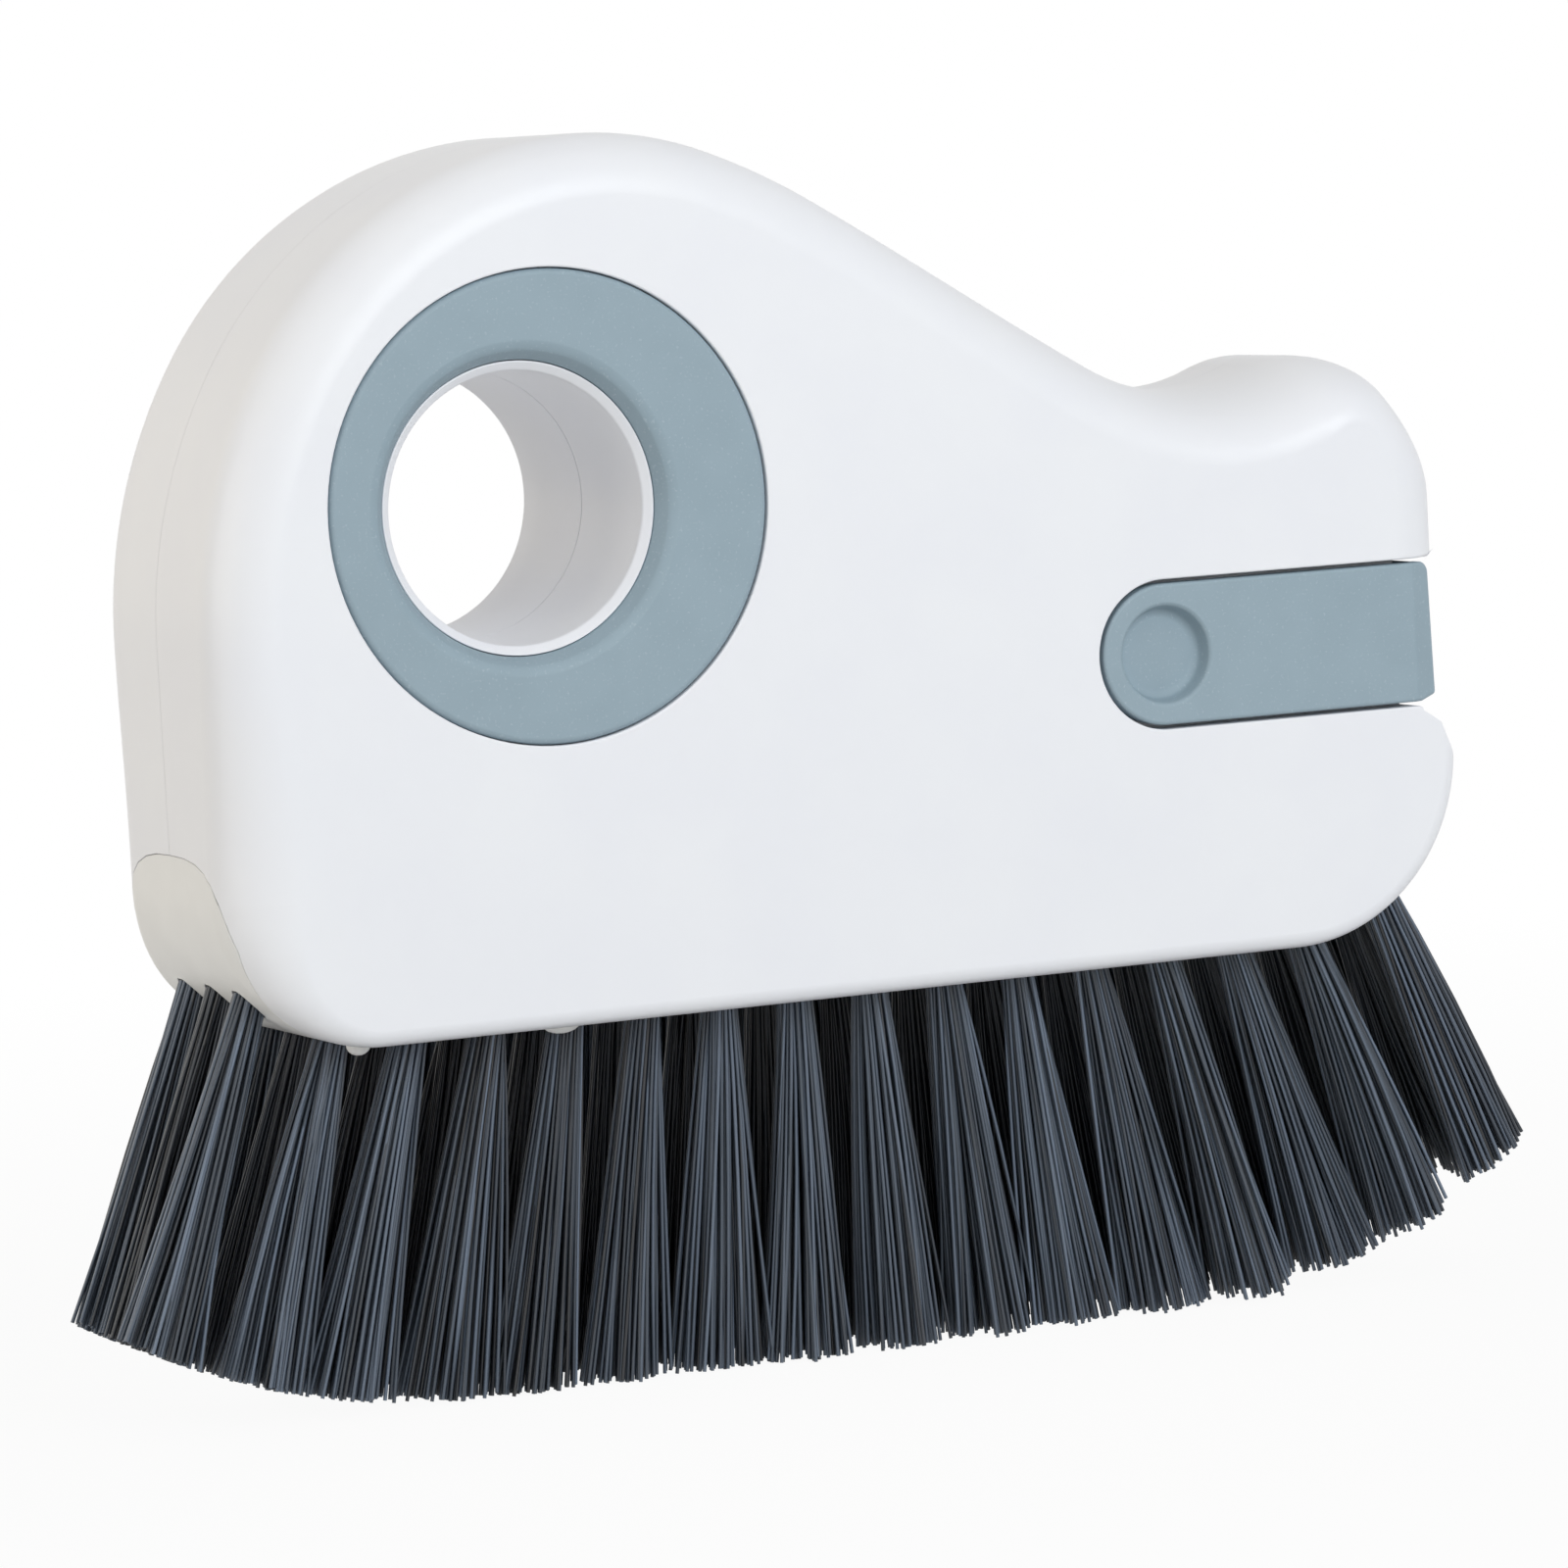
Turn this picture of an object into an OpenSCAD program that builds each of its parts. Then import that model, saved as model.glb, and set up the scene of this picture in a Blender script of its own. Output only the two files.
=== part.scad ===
// Hand grout brush: a two-part hollow body with a finger hole, soft grip rings,
// a slide-out scraper in the nose and a fanned, trimmed brush field underneath.
// +X runs to the nose, +Y away from the front face, +Z up from the bristle tips.

/* [Body outline] */
// Thickness of the body across both faces
body_t = 36; // [32:0.5:42]
// Height of the underside above the plane of the bristle tips
belly_z = 38.7; // [34:0.1:46]
// Length of the upright straight at the heel, above the heel corner
heel_side = 25.6; // [20:0.1:30]
// Radius of the lower corner at the heel
heel_r = 15.6; // [12:0.1:18]
// Radius of the hump just above the heel
hump_r1 = 55; // [50:0.5:60]
// Turn of that first hump arc, in degrees
hump_turn1 = 30.7; // [28:0.1:33]
// Radius of the hump at its upper back
hump_r2 = 44.4; // [42:0.1:48]
// Turn of that second hump arc, in degrees
hump_turn2 = 50; // [47:0.5:53]
// Radius of the hump at its crown
hump_r3 = 38.2; // [35:0.1:42]
// Turn of the crown arc, in degrees
hump_turn3 = 29.4; // [27:0.1:31]
// Radius of the arc that leads from the crown into the slope
hump_r4 = 71; // [60:1:80]
// Slope of the straight run down to the thumb rest, in degrees
slope_angle = 30.6; // [29:0.1:32]
// Length of that straight run
slope_len = 38; // [34:0.5:44]
// Radius of the hollow where the thumb rests
saddle_r = 24.8; // [22:0.1:28]
// Turn of the hollow, in degrees
saddle_turn = 53.4; // [50:0.1:55]
// Radius of the bump in front of the thumb
bump_r = 11.1; // [10.6:0.1:14]
// Turn of the bump, in degrees
bump_turn = 71.5; // [68:0.5:74]
// Radius of the brow that leads from the bump down to the nose
brow_r = 18.2; // [14:0.1:22]
// Radius of the lower corner at the nose
toe_r = 20.3; // [16:0.1:22]

/* [Body edges] */
// Edge rounding around the heel and hump
hump_round = 6.5; // [4:0.1:9]
// Edge rounding of the bump, measured in the plane of the faces
bump_round = 8.5; // [6:0.1:9.5]
// Edge rounding of the bump, measured across the thickness
bump_crown = 14; // [8:0.5:15.5]
// Edge rounding of the nose above the slide
nose_round = 6.4; // [3:0.1:7]
// Edge rounding of the lower corner at the nose
toe_round = 2; // [1:0.1:4]
// Edge rounding along the underside
belly_round = 1.8; // [1:0.1:3]
// Edge rounding around the heel tongue of the brush block
heel_round = 7.6; // [6:0.1:9]

/* [Shells] */
// Wall of the two shells
wall = 2.2; // [1.8:0.1:2.8]
// Half width of the square locating posts inside the shells
post_half = 3.2; // [2.8:0.1:4]
// Radius of the locating pins
pin_r = 1.7; // [1.4:0.05:2]
// Length of the pins past the parting plane
pin_len = 6; // [4:0.5:9]
// Room between a pin and its socket
pin_fit = 0.1; // [0.05:0.01:0.2]

/* [Finger hole] */
// Distance of the hole's axis from the heel face
bore_back = 34; // [32.5:0.5:38]
// Height of the hole's axis above the underside
bore_up = 53.3; // [50:0.1:55]
// Radius of the finger hole
bore_r = 14; // [12:0.1:14.5]
// Wall of the tube around the hole, at its rim
lip_wall = 1; // [0.8:0.1:1.4]
// Depth of the tube's rim below the face of the grip ring
lip_drop = 1.8; // [1:0.1:2.2]
// Height of the bevel on the rim
lip_bevel = 0.8; // [0.6:0.1:2]

/* [Grip rings] */
// Outer radius of a grip ring
ring_r = 24.2; // [22:0.1:25]
// How far the outer circle is set toward the nose from the hole's axis
ring_shift = 2.75; // [1:0.05:3.5]
// Thickness of a grip ring
ring_t = 3; // [2.5:0.1:3.6]
// Width of the bevel around the hole
ring_bevel = 1.4; // [0.8:0.1:1.8]
// Gap between a ring and its seat
ring_fit = 0.12; // [0.05:0.01:0.2]

/* [Scraper slide] */
// Distance of the slide's round end from the nose
slide_len = 35.3; // [32:0.1:38]
// Height of the slide's axis above the underside
slide_up = 32.8; // [30:0.1:34]
// Half height of the channel in the shells
channel_half = 7.95; // [7:0.05:9]
// Running gap above, below and behind the slide
slide_gap = 0.45; // [0.3:0.05:0.6]
// Thickness of the slide's soft cheeks
cheek_t = 2.7; // [2.2:0.1:3]
// How far the slide's end stays behind the nose
slide_inset = 1.5; // [0.8:0.1:2.2]
// Lean of the end face, from its upper to its lower corner
blade_lean = 0.7; // [0:0.1:1]
// Length of the bevel that thins each cheek toward the slide's end
end_bevel_len = 3.4; // [2:0.1:5]
// Depth of that bevel at the end
end_bevel_in = 1.4; // [0.8:0.1:2]
// Rounding of the upper corner of the slide's end
slide_corner = 1.3; // [0.8:0.1:2]
// Depth of the relief in the lip under the slide's end
scoop_back = 4.6; // [3.5:0.1:4.7]
// Depth of the relief at its knee
scoop_knee_back = 2; // [1.4:0.1:2.4]
// Height from the knee up to the lip
scoop_knee_drop = 3.4; // [2.6:0.1:4]
// Height of the whole relief
scoop_drop = 9; // [7:0.5:10]
// Radius of the thumb recess at its rim
recess_r = 5.3; // [4:0.1:6]
// Depth of the thumb recess
recess_depth = 1.8; // [0.6:0.1:2]
// Thickness of the carrier's web
web_t = 3; // [2.4:0.1:4]
// Thickness of the carrier's plate behind the end of the cover
nose_core_t = 2; // [1.6:0.1:3]
// Half height of the carrier's guide flange
flange_half = 5.5; // [4:0.1:6]
// How far the scraper slides out
slide_travel = 20; // [15:0.5:21]

/* [Brush block] */
// Width of the brush block
block_w = 28; // [26.6:0.1:28.6]
// Height of the brush block
block_h = 9; // [8:0.1:11]
// Thickness of the block's end tongues
tongue_t = 4; // [3:0.1:5]
// Width of the block's end tongues
tongue_w = 27.4; // [25:0.1:27.8]
// Height of the heel tongue above the underside
heel_tongue = 19.8; // [17:0.1:20.5]
// Height of the toe tongue above the underside
toe_tongue = 16; // [13:0.1:18]
// Depth over which a tongue spreads from its top to its full width
arch_drop = 9; // [7:0.5:11]
// Thickness of the neck between the base and the toe tongue
neck_t = 3; // [2:0.1:4]
// Length of that neck behind the tongue
neck_len = 5; // [3:0.1:8]
// Gap between the block and the shells
block_fit = 0.1; // [0.05:0.01:0.2]
// Width of the latch tabs under the front and rear rims
tab_w = 3; // [2:0.1:6]
// Drop of the latch tabs below the underside
tab_drop = 1; // [0.5:0.1:1.5]
// Thickness of the latch tabs
tab_t = 2; // [1:0.1:2.5]

/* [Tufts] */
// Tufts in a row
tufts_in_row = 16; // [14:1:16]
// Distance between the rows
row_pitch = 7.8; // [7.6:0.1:8.6]
// Distance of the first tuft from the heel face
first_tuft = 4.6; // [4:0.1:6]
// Distance of the last tuft from the nose
last_tuft = 6.2; // [5:0.1:8]
// Lean of the last tufts at the heel, in degrees
fan_heel = 18.6; // [15:0.1:23]
// Lean of the last tufts at the toe, in degrees
fan_toe = 21.6; // [15:0.1:23]
// Half angle through which a tuft opens along the row
open_along = 3.9; // [3:0.1:4]
// Half angle through which a tuft opens across the row
open_across = 2.4; // [1:0.1:2.5]
// Thickness of a strand at its root
strand_t = 1.1; // [0.9:0.05:1.15]
// Gap between strands at the root
strand_gap = 0.4; // [0.35:0.05:0.5]
// How much thicker a strand is at its tip
strand_flare = 1.6; // [1.2:0.05:1.8]
// Rise of the trimmed tips at the heel end of the fan
trim_rise_heel = 9.5; // [8:0.5:15]
// Rise of the trimmed tips at the toe end of the fan
trim_rise_toe = 13.5; // [8:0.5:18]
// Thickness of the slice of backing that holds a row
slice_t = 1.5; // [1.2:0.1:2]
// Gap between a slice and its groove
slice_fit = 0.05; // [0.02:0.01:0.1]

/* [Anchors] */
// Length of a tuft anchor
anchor_len = 3.4; // [2.8:0.1:4]
// Height of a tuft anchor
anchor_h = 1.2; // [0.8:0.1:1.6]
// Thickness of a tuft anchor
anchor_t = 0.4; // [0.3:0.05:0.6]
// Gap between an anchor and its pocket
anchor_fit = 0.05; // [0.03:0.01:0.1]

/* [Hidden] */
cut_margin = 2;
arc_step = 4.5;       // degrees of turn between points on the outline
curve_fn = 96;
skin_bands = 5;       // steps across an edge rounding
skim = 0.02;          // a face is drawn this far too high before it is planed flat
pin_fn = 48;

white_col = [0.93, 0.93, 0.94];
block_col = [0.86, 0.86, 0.84];
soft_col = [0.60, 0.67, 0.72];
carrier_col = [0.45, 0.48, 0.50];
strand_col = [0.17, 0.18, 0.20];
metal_col = [0.75, 0.62, 0.35];

// The outline is walked clockwise from the foot of the upright heel. A run is
// [radius or length, turn, edge rounding at its end, crown at its end]; a run
// without a turn is straight, and a positive turn hollows the outline.
half_t = body_t / 2;
hump_turn4 = 90 + slope_angle - hump_turn1 - hump_turn2 - hump_turn3;
brow_turn = 90 - slope_angle + saddle_turn - bump_turn;
heel_low = max(heel_tongue - heel_r, 0.5);
upper_runs = [
    [heel_low, 0, heel_round, heel_round],
    [heel_side - heel_low, 0, hump_round, hump_round],
    [hump_r1, -hump_turn1, hump_round, hump_round],
    [hump_r2, -hump_turn2, hump_round, hump_round],
    [hump_r3, -hump_turn3, hump_round, hump_round],
    [hump_r4, -hump_turn4, hump_round, hump_round],
    [slope_len, 0, (hump_round + bump_round) / 2, (hump_round + bump_crown) / 2],
    [saddle_r, saddle_turn, bump_round, bump_crown],
    [bump_r, -bump_turn, nose_round, (bump_crown + nose_round) / 2],
    [brow_r, -brow_turn, nose_round, nose_round]
];

function dir(a) = [cos(a), sin(a)];
function left_of(a) = [-sin(a), cos(a)];
function run_end(p, h, run) = run[1] == 0
    ? p + run[0] * dir(h)
    : p + sign(run[1]) * run[0] * (left_of(h) - left_of(h + run[1]));
function walk(runs, i, p, h) = i == len(runs)
    ? [[p, h]]
    : concat([[p, h]], walk(runs, i + 1, run_end(p, h, runs[i]), h + runs[i][1]));
function run_steps(run) = run[1] == 0 ? max(1, ceil(run[0] / 9)) : ceil(abs(run[1]) / arc_step);
// A point is [x, z, outward x, outward z, edge rounding, crown].
function run_points(p, h, run, before) = [
    for (k = [0 : run_steps(run) - 1])
        let (f = k / run_steps(run), a = h + f * run[1],
             q = run[1] == 0 ? p + f * run[0] * dir(h)
                 : p + sign(run[1]) * run[0] * (left_of(h) - left_of(a)),
             n = left_of(a),
             ease = f * f * (3 - 2 * f))
        [q[0], q[1], n[0], n[1],
         before[2] + ease * (run[2] - before[2]), before[3] + ease * (run[3] - before[3])]
];

// The body is centred on the frame, so the heel lies half its length behind.
start = [0, belly_z + heel_r];
upper_ends = walk(upper_runs, 0, start, 90);
body_len = upper_ends[len(upper_runs)][0][0];
heel_x = -body_len / 2;
nose_x = body_len / 2;
brow_z = upper_ends[len(upper_runs)][0][1];
slide_z = belly_z + slide_up;
lower_runs = [
    [brow_z - slide_z, 0, nose_round, nose_round],
    [slide_z - belly_z - toe_r, 0, toe_round, toe_round],
    [toe_r, -90, belly_round, belly_round],
    [body_len - toe_r - heel_r, 0, belly_round, belly_round],
    [heel_r, -90, heel_round, heel_round]
];
runs = concat(upper_runs, lower_runs);
ends = walk(runs, 0, [heel_x, belly_z + heel_r], 90);
outline = [
    for (i = [0 : len(runs) - 1])
        each run_points(ends[i][0], ends[i][1], runs[i], runs[(i + len(runs) - 1) % len(runs)])
];

bore_x = heel_x + bore_back;
bore_z = belly_z + bore_up;
ring_x = bore_x + ring_shift;
ring_face_r = bore_r + lip_wall + ring_bevel;
tube_r = bore_r + wall;
seat_depth = ring_t;
slide_x = nose_x - slide_len;
slide_half = channel_half - slide_gap;
channel_depth = cheek_t + slide_gap;
floor_t = wall;
slide_end = nose_x - slide_inset;
cover_wall = 1.5;
cover_in_x = slide_end - cover_wall;
nose_recess_x = cover_in_x - nose_core_t - slide_gap;
stop_x = nose_recess_x - wall;
stop_edge = 0.6;      // the stop stands this far past the channel's walls
stop_half = channel_half + wall + stop_edge;
recess_step = 0.1;    // the recess in the nose stands back this far from the channel
recess_half = channel_half + recess_step;
web_x = slide_x - 5;
flange_len = stop_x - slide_gap - slide_travel - web_x;
flange_y = half_t - channel_depth - floor_t - slide_gap;
recess_draft = 0.3 * recess_depth;
core_edge = 0.5;      // the carrier's end plate stays this far inside the cover's outline
scoop_lip = 0.7;      // rounding of the lip above the relief
inner_top = belly_z + block_h + block_fit;
rib_t = 2;
arch_power = 2.5;     // squareness of an arch: 2 is round, more is squarer
arch_steps = 8;
// The toe corner climbs this far before the tongue begins, and the neck lies above it
toe_climb = toe_r - sqrt(tongue_t * (2 * toe_r - tongue_t));
neck_top = belly_z + max(toe_climb + neck_t, block_h + block_fit);
// Posts and latch tabs are placed from the axis of the finger hole
post_offsets = [[-22, -26], [26, -26], [36, 10], [57, -13], [91, -5.4]];
post_places = [for (p = post_offsets) [bore_x + p[0], bore_z + p[1]]];
tab_offsets = [-19.7, 2.8];
tab_places = [for (t = tab_offsets) bore_x + t];

// Half of the body's skin on one side of the parting plane, drawn in by inset
function skin_ring(inset, face, b) = [
    for (p = outline)
        let (round_in = max(p[4] - inset, 0.8), crown_in = max(p[5] - inset, 0.8),
             d = inset + round_in * (1 - cos(b)))
        [p[0] - d * p[2], -(face - crown_in * (1 - sin(b))), p[1] - d * p[3]]
];
function flat_ring(inset, y) = [for (p = outline) [p[0] - inset * p[2], y, p[1] - inset * p[3]]];
function edge_rings(inset, face, bands) = [
    for (j = [0 : bands]) skin_ring(inset, face, 90 * j / bands)
];
function mirrored(rings) = [
    for (i = [len(rings) - 1 : -1 : 0]) [for (p = rings[i]) [p[0], -p[1], p[2]]]
];
// A closed solid through rings that follow one another toward negative y
module skin_solid(rings) {
    n = len(outline);
    m = len(rings);
    sides = [
        for (j = [0 : m - 2]) for (i = [0 : n - 1])
            let (a = j * n + i, b = j * n + (i + 1) % n, c = b + n, d = a + n)
            each [[a, b, c], [a, c, d]]
    ];
    polyhedron(points = [for (r = rings) each r],
        faces = concat([[for (i = [n - 1 : -1 : 0]) i]], sides, [[for (i = [0 : n - 1]) (m - 1) * n + i]]),
        convexity = 8);
}

// A prism across the body, from y0 to y1, of a shape drawn in x and z
module across(y0, y1) {
    translate([0, y1, 0])
        rotate([90, 0, 0])
            linear_extrude(height = y1 - y0)
                children();
}
// A round across the body
module rod(x, z, r, y0, y1, fn = curve_fn) {
    translate([x, y1, z])
        rotate([90, 0, 0])
            cylinder(r = r, h = y1 - y0, $fn = fn);
}
module taper(x, z, r0, r1, y0, y1) {
    translate([x, y0, z])
        rotate([-90, 0, 0])
            cylinder(r1 = r0, r2 = r1, h = y1 - y0, $fn = curve_fn);
}
module slot_shape(half, x_end) {
    translate([slide_x, slide_z])
        circle(r = half, $fn = curve_fn);
    translate([slide_x, slide_z - half])
        square([x_end - slide_x, 2 * half]);
}

// Room for the brush block: its base and its two end tongues. A tongue is an arch
// that spreads toward the underside.
function arch_half(d) =
    tongue_w / 2 * pow(1 - pow(1 - min(d / arch_drop, 1), arch_power), 1 / arch_power);
module tongue_room(x0, len_x, top, grow) {
    drops = [for (k = [0 : arch_steps]) arch_drop * pow(k / arch_steps, 2)];
    side = [for (d = drops) [d == 0 ? 0 : arch_half(d) + grow, top + grow - d]];
    w = tongue_w / 2 + grow;
    translate([x0, 0, 0])
        rotate([90, 0, 90])
            linear_extrude(height = len_x)
                polygon(concat(side, [[w, 0], [-w, 0]],
                    [for (i = [len(side) - 1 : -1 : 1]) [-side[i][0], side[i][1]]]));
}
module block_room(grow, reach) {
    w = block_w / 2 + grow;
    translate([heel_x - reach, -w, belly_z - reach])
        cube([body_len + 2 * reach, 2 * w, block_h + grow + reach]);
    translate([nose_x - tongue_t - neck_len - grow, -w, belly_z])
        cube([tongue_t + neck_len + grow + reach, 2 * w, neck_top + grow - belly_z]);
    tongue_room(heel_x - reach, tongue_t + grow + reach, belly_z + heel_tongue, grow);
    tongue_room(nose_x - tongue_t - grow, tongue_t + grow + reach, belly_z + toe_tongue, grow);
}

// Solid features left standing inside the hollow of a shell, for the half at negative y
module shell_features() {
    rod(bore_x, bore_z, tube_r, -half_t, cut_margin);
    rod(ring_x, bore_z, ring_r + ring_fit + wall, -half_t, -half_t + seat_depth + floor_t);
    across(-half_t, -half_t + channel_depth + floor_t)
        slot_shape(channel_half + wall, nose_x);
    translate([stop_x, -half_t, slide_z - stop_half])
        cube([nose_x - stop_x, half_t + cut_margin, 2 * stop_half]);
    translate([heel_x, -half_t, 0])
        cube([body_len, half_t + cut_margin, inner_top + rib_t]);
    translate([heel_x, -half_t, 0])
        cube([tongue_t + block_fit + wall, half_t + cut_margin, belly_z + heel_tongue + wall]);
    translate([nose_x - tongue_t - block_fit - wall, -half_t, 0])
        cube([tongue_t + block_fit + wall, half_t + cut_margin, belly_z + toe_tongue + wall]);
    translate([nose_x - tongue_t - neck_len - block_fit - wall, -half_t, 0])
        cube([neck_len + wall, half_t + cut_margin, neck_top + block_fit + wall]);
    for (p = post_places)
        translate([p[0] - post_half, -half_t, p[1] - post_half])
            cube([2 * post_half, half_t + cut_margin, 2 * post_half]);
}
module shell_cuts() {
    // finger hole with its bevelled rim, and the ring's seat
    rod(bore_x, bore_z, bore_r, -half_t - cut_margin, cut_margin);
    taper(bore_x, bore_z, bore_r + lip_wall, bore_r,
        -half_t + lip_drop, -half_t + lip_drop + lip_bevel);
    difference() {
        rod(ring_x, bore_z, ring_r + ring_fit, -half_t - cut_margin, -half_t + seat_depth);
        rod(bore_x, bore_z, bore_r + lip_wall, -half_t + lip_drop, 0);
    }
    // channel, the slot for the carrier's web and the recess in the nose
    across(-half_t - cut_margin, -half_t + channel_depth)
        slot_shape(channel_half, nose_x + cut_margin);
    translate([web_x - slide_gap, -half_t, slide_z - web_t / 2 - slide_gap])
        cube([nose_x - web_x + cut_margin, half_t + cut_margin, web_t + 2 * slide_gap]);
    across(-half_t - cut_margin, cut_margin)
        translate([nose_recess_x, slide_z - recess_half])
            square([nose_x - nose_recess_x + cut_margin, 2 * recess_half]);
    // relief in the lip under the slide's end
    lip_z = slide_z - channel_half;
    across(-half_t - cut_margin, cut_margin)
        polygon(concat(
            [for (a = [90 : -15 : 0])
                [nose_x - scoop_back + scoop_lip * (cos(a) - 1), lip_z + scoop_lip * (sin(a) - 1)]],
            [[nose_x - scoop_knee_back, lip_z - scoop_knee_drop], [nose_x, lip_z - scoop_drop], [nose_x + cut_margin, lip_z - scoop_drop],
             [nose_x + cut_margin, slide_z], [nose_x - scoop_back - scoop_lip, slide_z]]));
    block_room(block_fit, cut_margin);
}
// The skin is planed flat a hair below its last ring, which leaves one plane face
module planed(face) {
    intersection() {
        children();
        translate([2 * heel_x, -face, 0])
            cube([2 * body_len, 2 * half_t, 2 * bore_z]);
    }
}
module shell_half() {
    inner_face = half_t - wall;
    difference() {
        planed(half_t)
            skin_solid(concat([flat_ring(0, 0)], edge_rings(0, half_t + skim, skin_bands)));
        difference() {
            planed(inner_face)
                skin_solid(concat([flat_ring(wall, 1)], edge_rings(wall, inner_face + skim, 2)));
            shell_features();
        }
        shell_cuts();
    }
}

module front_shell() {
    color(white_col) {
        shell_half();
        for (p = post_places)
            rod(p[0], p[1], pin_r, -1, pin_len, pin_fn);
    }
}
module rear_shell() {
    color(white_col)
        difference() {
            mirror([0, 1, 0])
                shell_half();
            for (p = post_places)
                rod(p[0], p[1], pin_r + pin_fit, -1, pin_len + pin_fit, pin_fn);
        }
}

module grip_ring() {
    difference() {
        rod(ring_x, bore_z, ring_r, -half_t, -half_t + ring_t - ring_fit);
        rod(bore_x, bore_z, bore_r + lip_wall + ring_fit, -half_t - cut_margin, 0);
        taper(bore_x, bore_z, ring_face_r + ring_bevel / 4, bore_r + lip_wall + ring_fit,
            -half_t - ring_bevel / 4, -half_t + lip_drop);
    }
}
module front_grip_ring() {
    color(soft_col)
        grip_ring();
}
module rear_grip_ring() {
    color(soft_col)
        mirror([0, 1, 0])
            grip_ring();
}

module slide_carrier() {
    web_y = half_t - cheek_t;
    color(carrier_col) {
        translate([web_x, -web_y, slide_z - web_t / 2])
            cube([cover_in_x - web_x, 2 * web_y, web_t]);
        translate([web_x, -flange_y, slide_z - flange_half])
            cube([flange_len, 2 * flange_y, 2 * flange_half]);
        translate([cover_in_x - nose_core_t, -web_y, slide_z - slide_half + core_edge])
            cube([nose_core_t, 2 * web_y, 2 * (slide_half - core_edge)]);
    }
}
// The soft cover is one piece: a cheek on each face, joined around the nose
module slide_cover() {
    back_x = slide_x - slide_half - cut_margin;
    low_z = slide_z - slide_half - cut_margin;
    high = 2 * (slide_half + cut_margin);
    end_plan = [[back_x, -half_t], [slide_end - end_bevel_len, -half_t],
                [slide_end, -half_t + end_bevel_in]];
    color(soft_col)
        difference() {
            intersection() {
                across(-half_t, half_t) {
                    translate([slide_x, slide_z])
                        circle(r = slide_half, $fn = curve_fn);
                    polygon(concat(
                        [[slide_x, slide_z + slide_half], [slide_x, slide_z - slide_half],
                         [slide_end, slide_z - slide_half]],
                        [for (a = [0 : 15 : 90])
                            [slide_end - blade_lean - slide_corner * (1 - cos(a)),
                             slide_z + slide_half - slide_corner * (1 - sin(a))]]));
                }
                translate([0, 0, low_z])
                    linear_extrude(height = high)
                        polygon(concat(end_plan, [for (i = [2 : -1 : 0]) [end_plan[i][0], -end_plan[i][1]]]));
            }
            translate([back_x, -half_t + cheek_t, low_z])
                cube([cover_in_x - back_x, body_t - 2 * cheek_t, high]);
            for (s = [0, 1])
                mirror([0, s, 0])
                    taper(slide_x, slide_z, recess_r + recess_draft, recess_r - recess_draft,
                        -half_t - recess_depth, -half_t + recess_depth);
        }
}

// Tufts stand along the underside: round the heel corner, along the belly and
// round the toe corner. The station is the run length from the belly's middle.
belly_half_heel = -(heel_x + heel_r);
belly_half_toe = nose_x - toe_r;
function under(s, drop) =
    s < -belly_half_heel
    ? let (a = (-s - belly_half_heel) / heel_r * 180 / PI)
      [-belly_half_heel - (heel_r - drop) * sin(a), belly_z + heel_r - (heel_r - drop) * cos(a)]
    : s > belly_half_toe
    ? let (a = (s - belly_half_toe) / toe_r * 180 / PI)
      [belly_half_toe + (toe_r - drop) * sin(a), belly_z + toe_r - (toe_r - drop) * cos(a)]
    : [s, belly_z + drop];
// Station on the underside that lies at x
function station(x) =
    x < -belly_half_heel
    ? -belly_half_heel - heel_r * asin(min((-x - belly_half_heel) / heel_r, 1)) * PI / 180
    : x > belly_half_toe
    ? belly_half_toe + toe_r * asin(min((x - belly_half_toe) / toe_r, 1)) * PI / 180
    : x;
first_x = heel_x + first_tuft;
last_x = nose_x - last_tuft;
fan_mid = (first_x + last_x) / 2;
fan_half = (last_x - first_x) / 2;
function tuft_x(k) = first_x + k * (last_x - first_x) / (tufts_in_row - 1);
function fan(x) = x < fan_mid ? fan_heel : fan_toe;
function lean(x) = fan(x) * (x - fan_mid) / fan_half;
strand_pitch = strand_t + strand_gap;
anchor_lift = 0.1;
pocket_foot = 0.4;    // a pocket reaches this far down, into the groove of its row
strand_cells = [for (i = [-1 : 1]) each [i * strand_pitch - strand_t / 2, i * strand_pitch + strand_t / 2]];
tuft_stations = [for (k = [0 : tufts_in_row - 1]) station(tuft_x(k))];
row_stations = [for (s = tuft_stations) each [for (c = strand_cells) s + c]];
tip_sink = 0.5;
function tip_reach(x) = fan_half + belly_z * tan(fan(x));
trim_power = 4.5;
function trim_z(x) =
    max(0, (x < fan_mid ? trim_rise_heel : trim_rise_toe) * pow(abs(x - fan_mid) / tip_reach(x), trim_power)
        - tip_sink);
// Where a strand that leaves root at angle a meets the trimmed surface
function tip_point(root, a) =
    let (x1 = root[0] + root[1] * tan(a), z1 = trim_z(x1),
         x2 = root[0] + (root[1] - z1) * tan(a), z2 = trim_z(x2))
    [root[0] + (root[1] - z2) * tan(a), z2];

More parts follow.
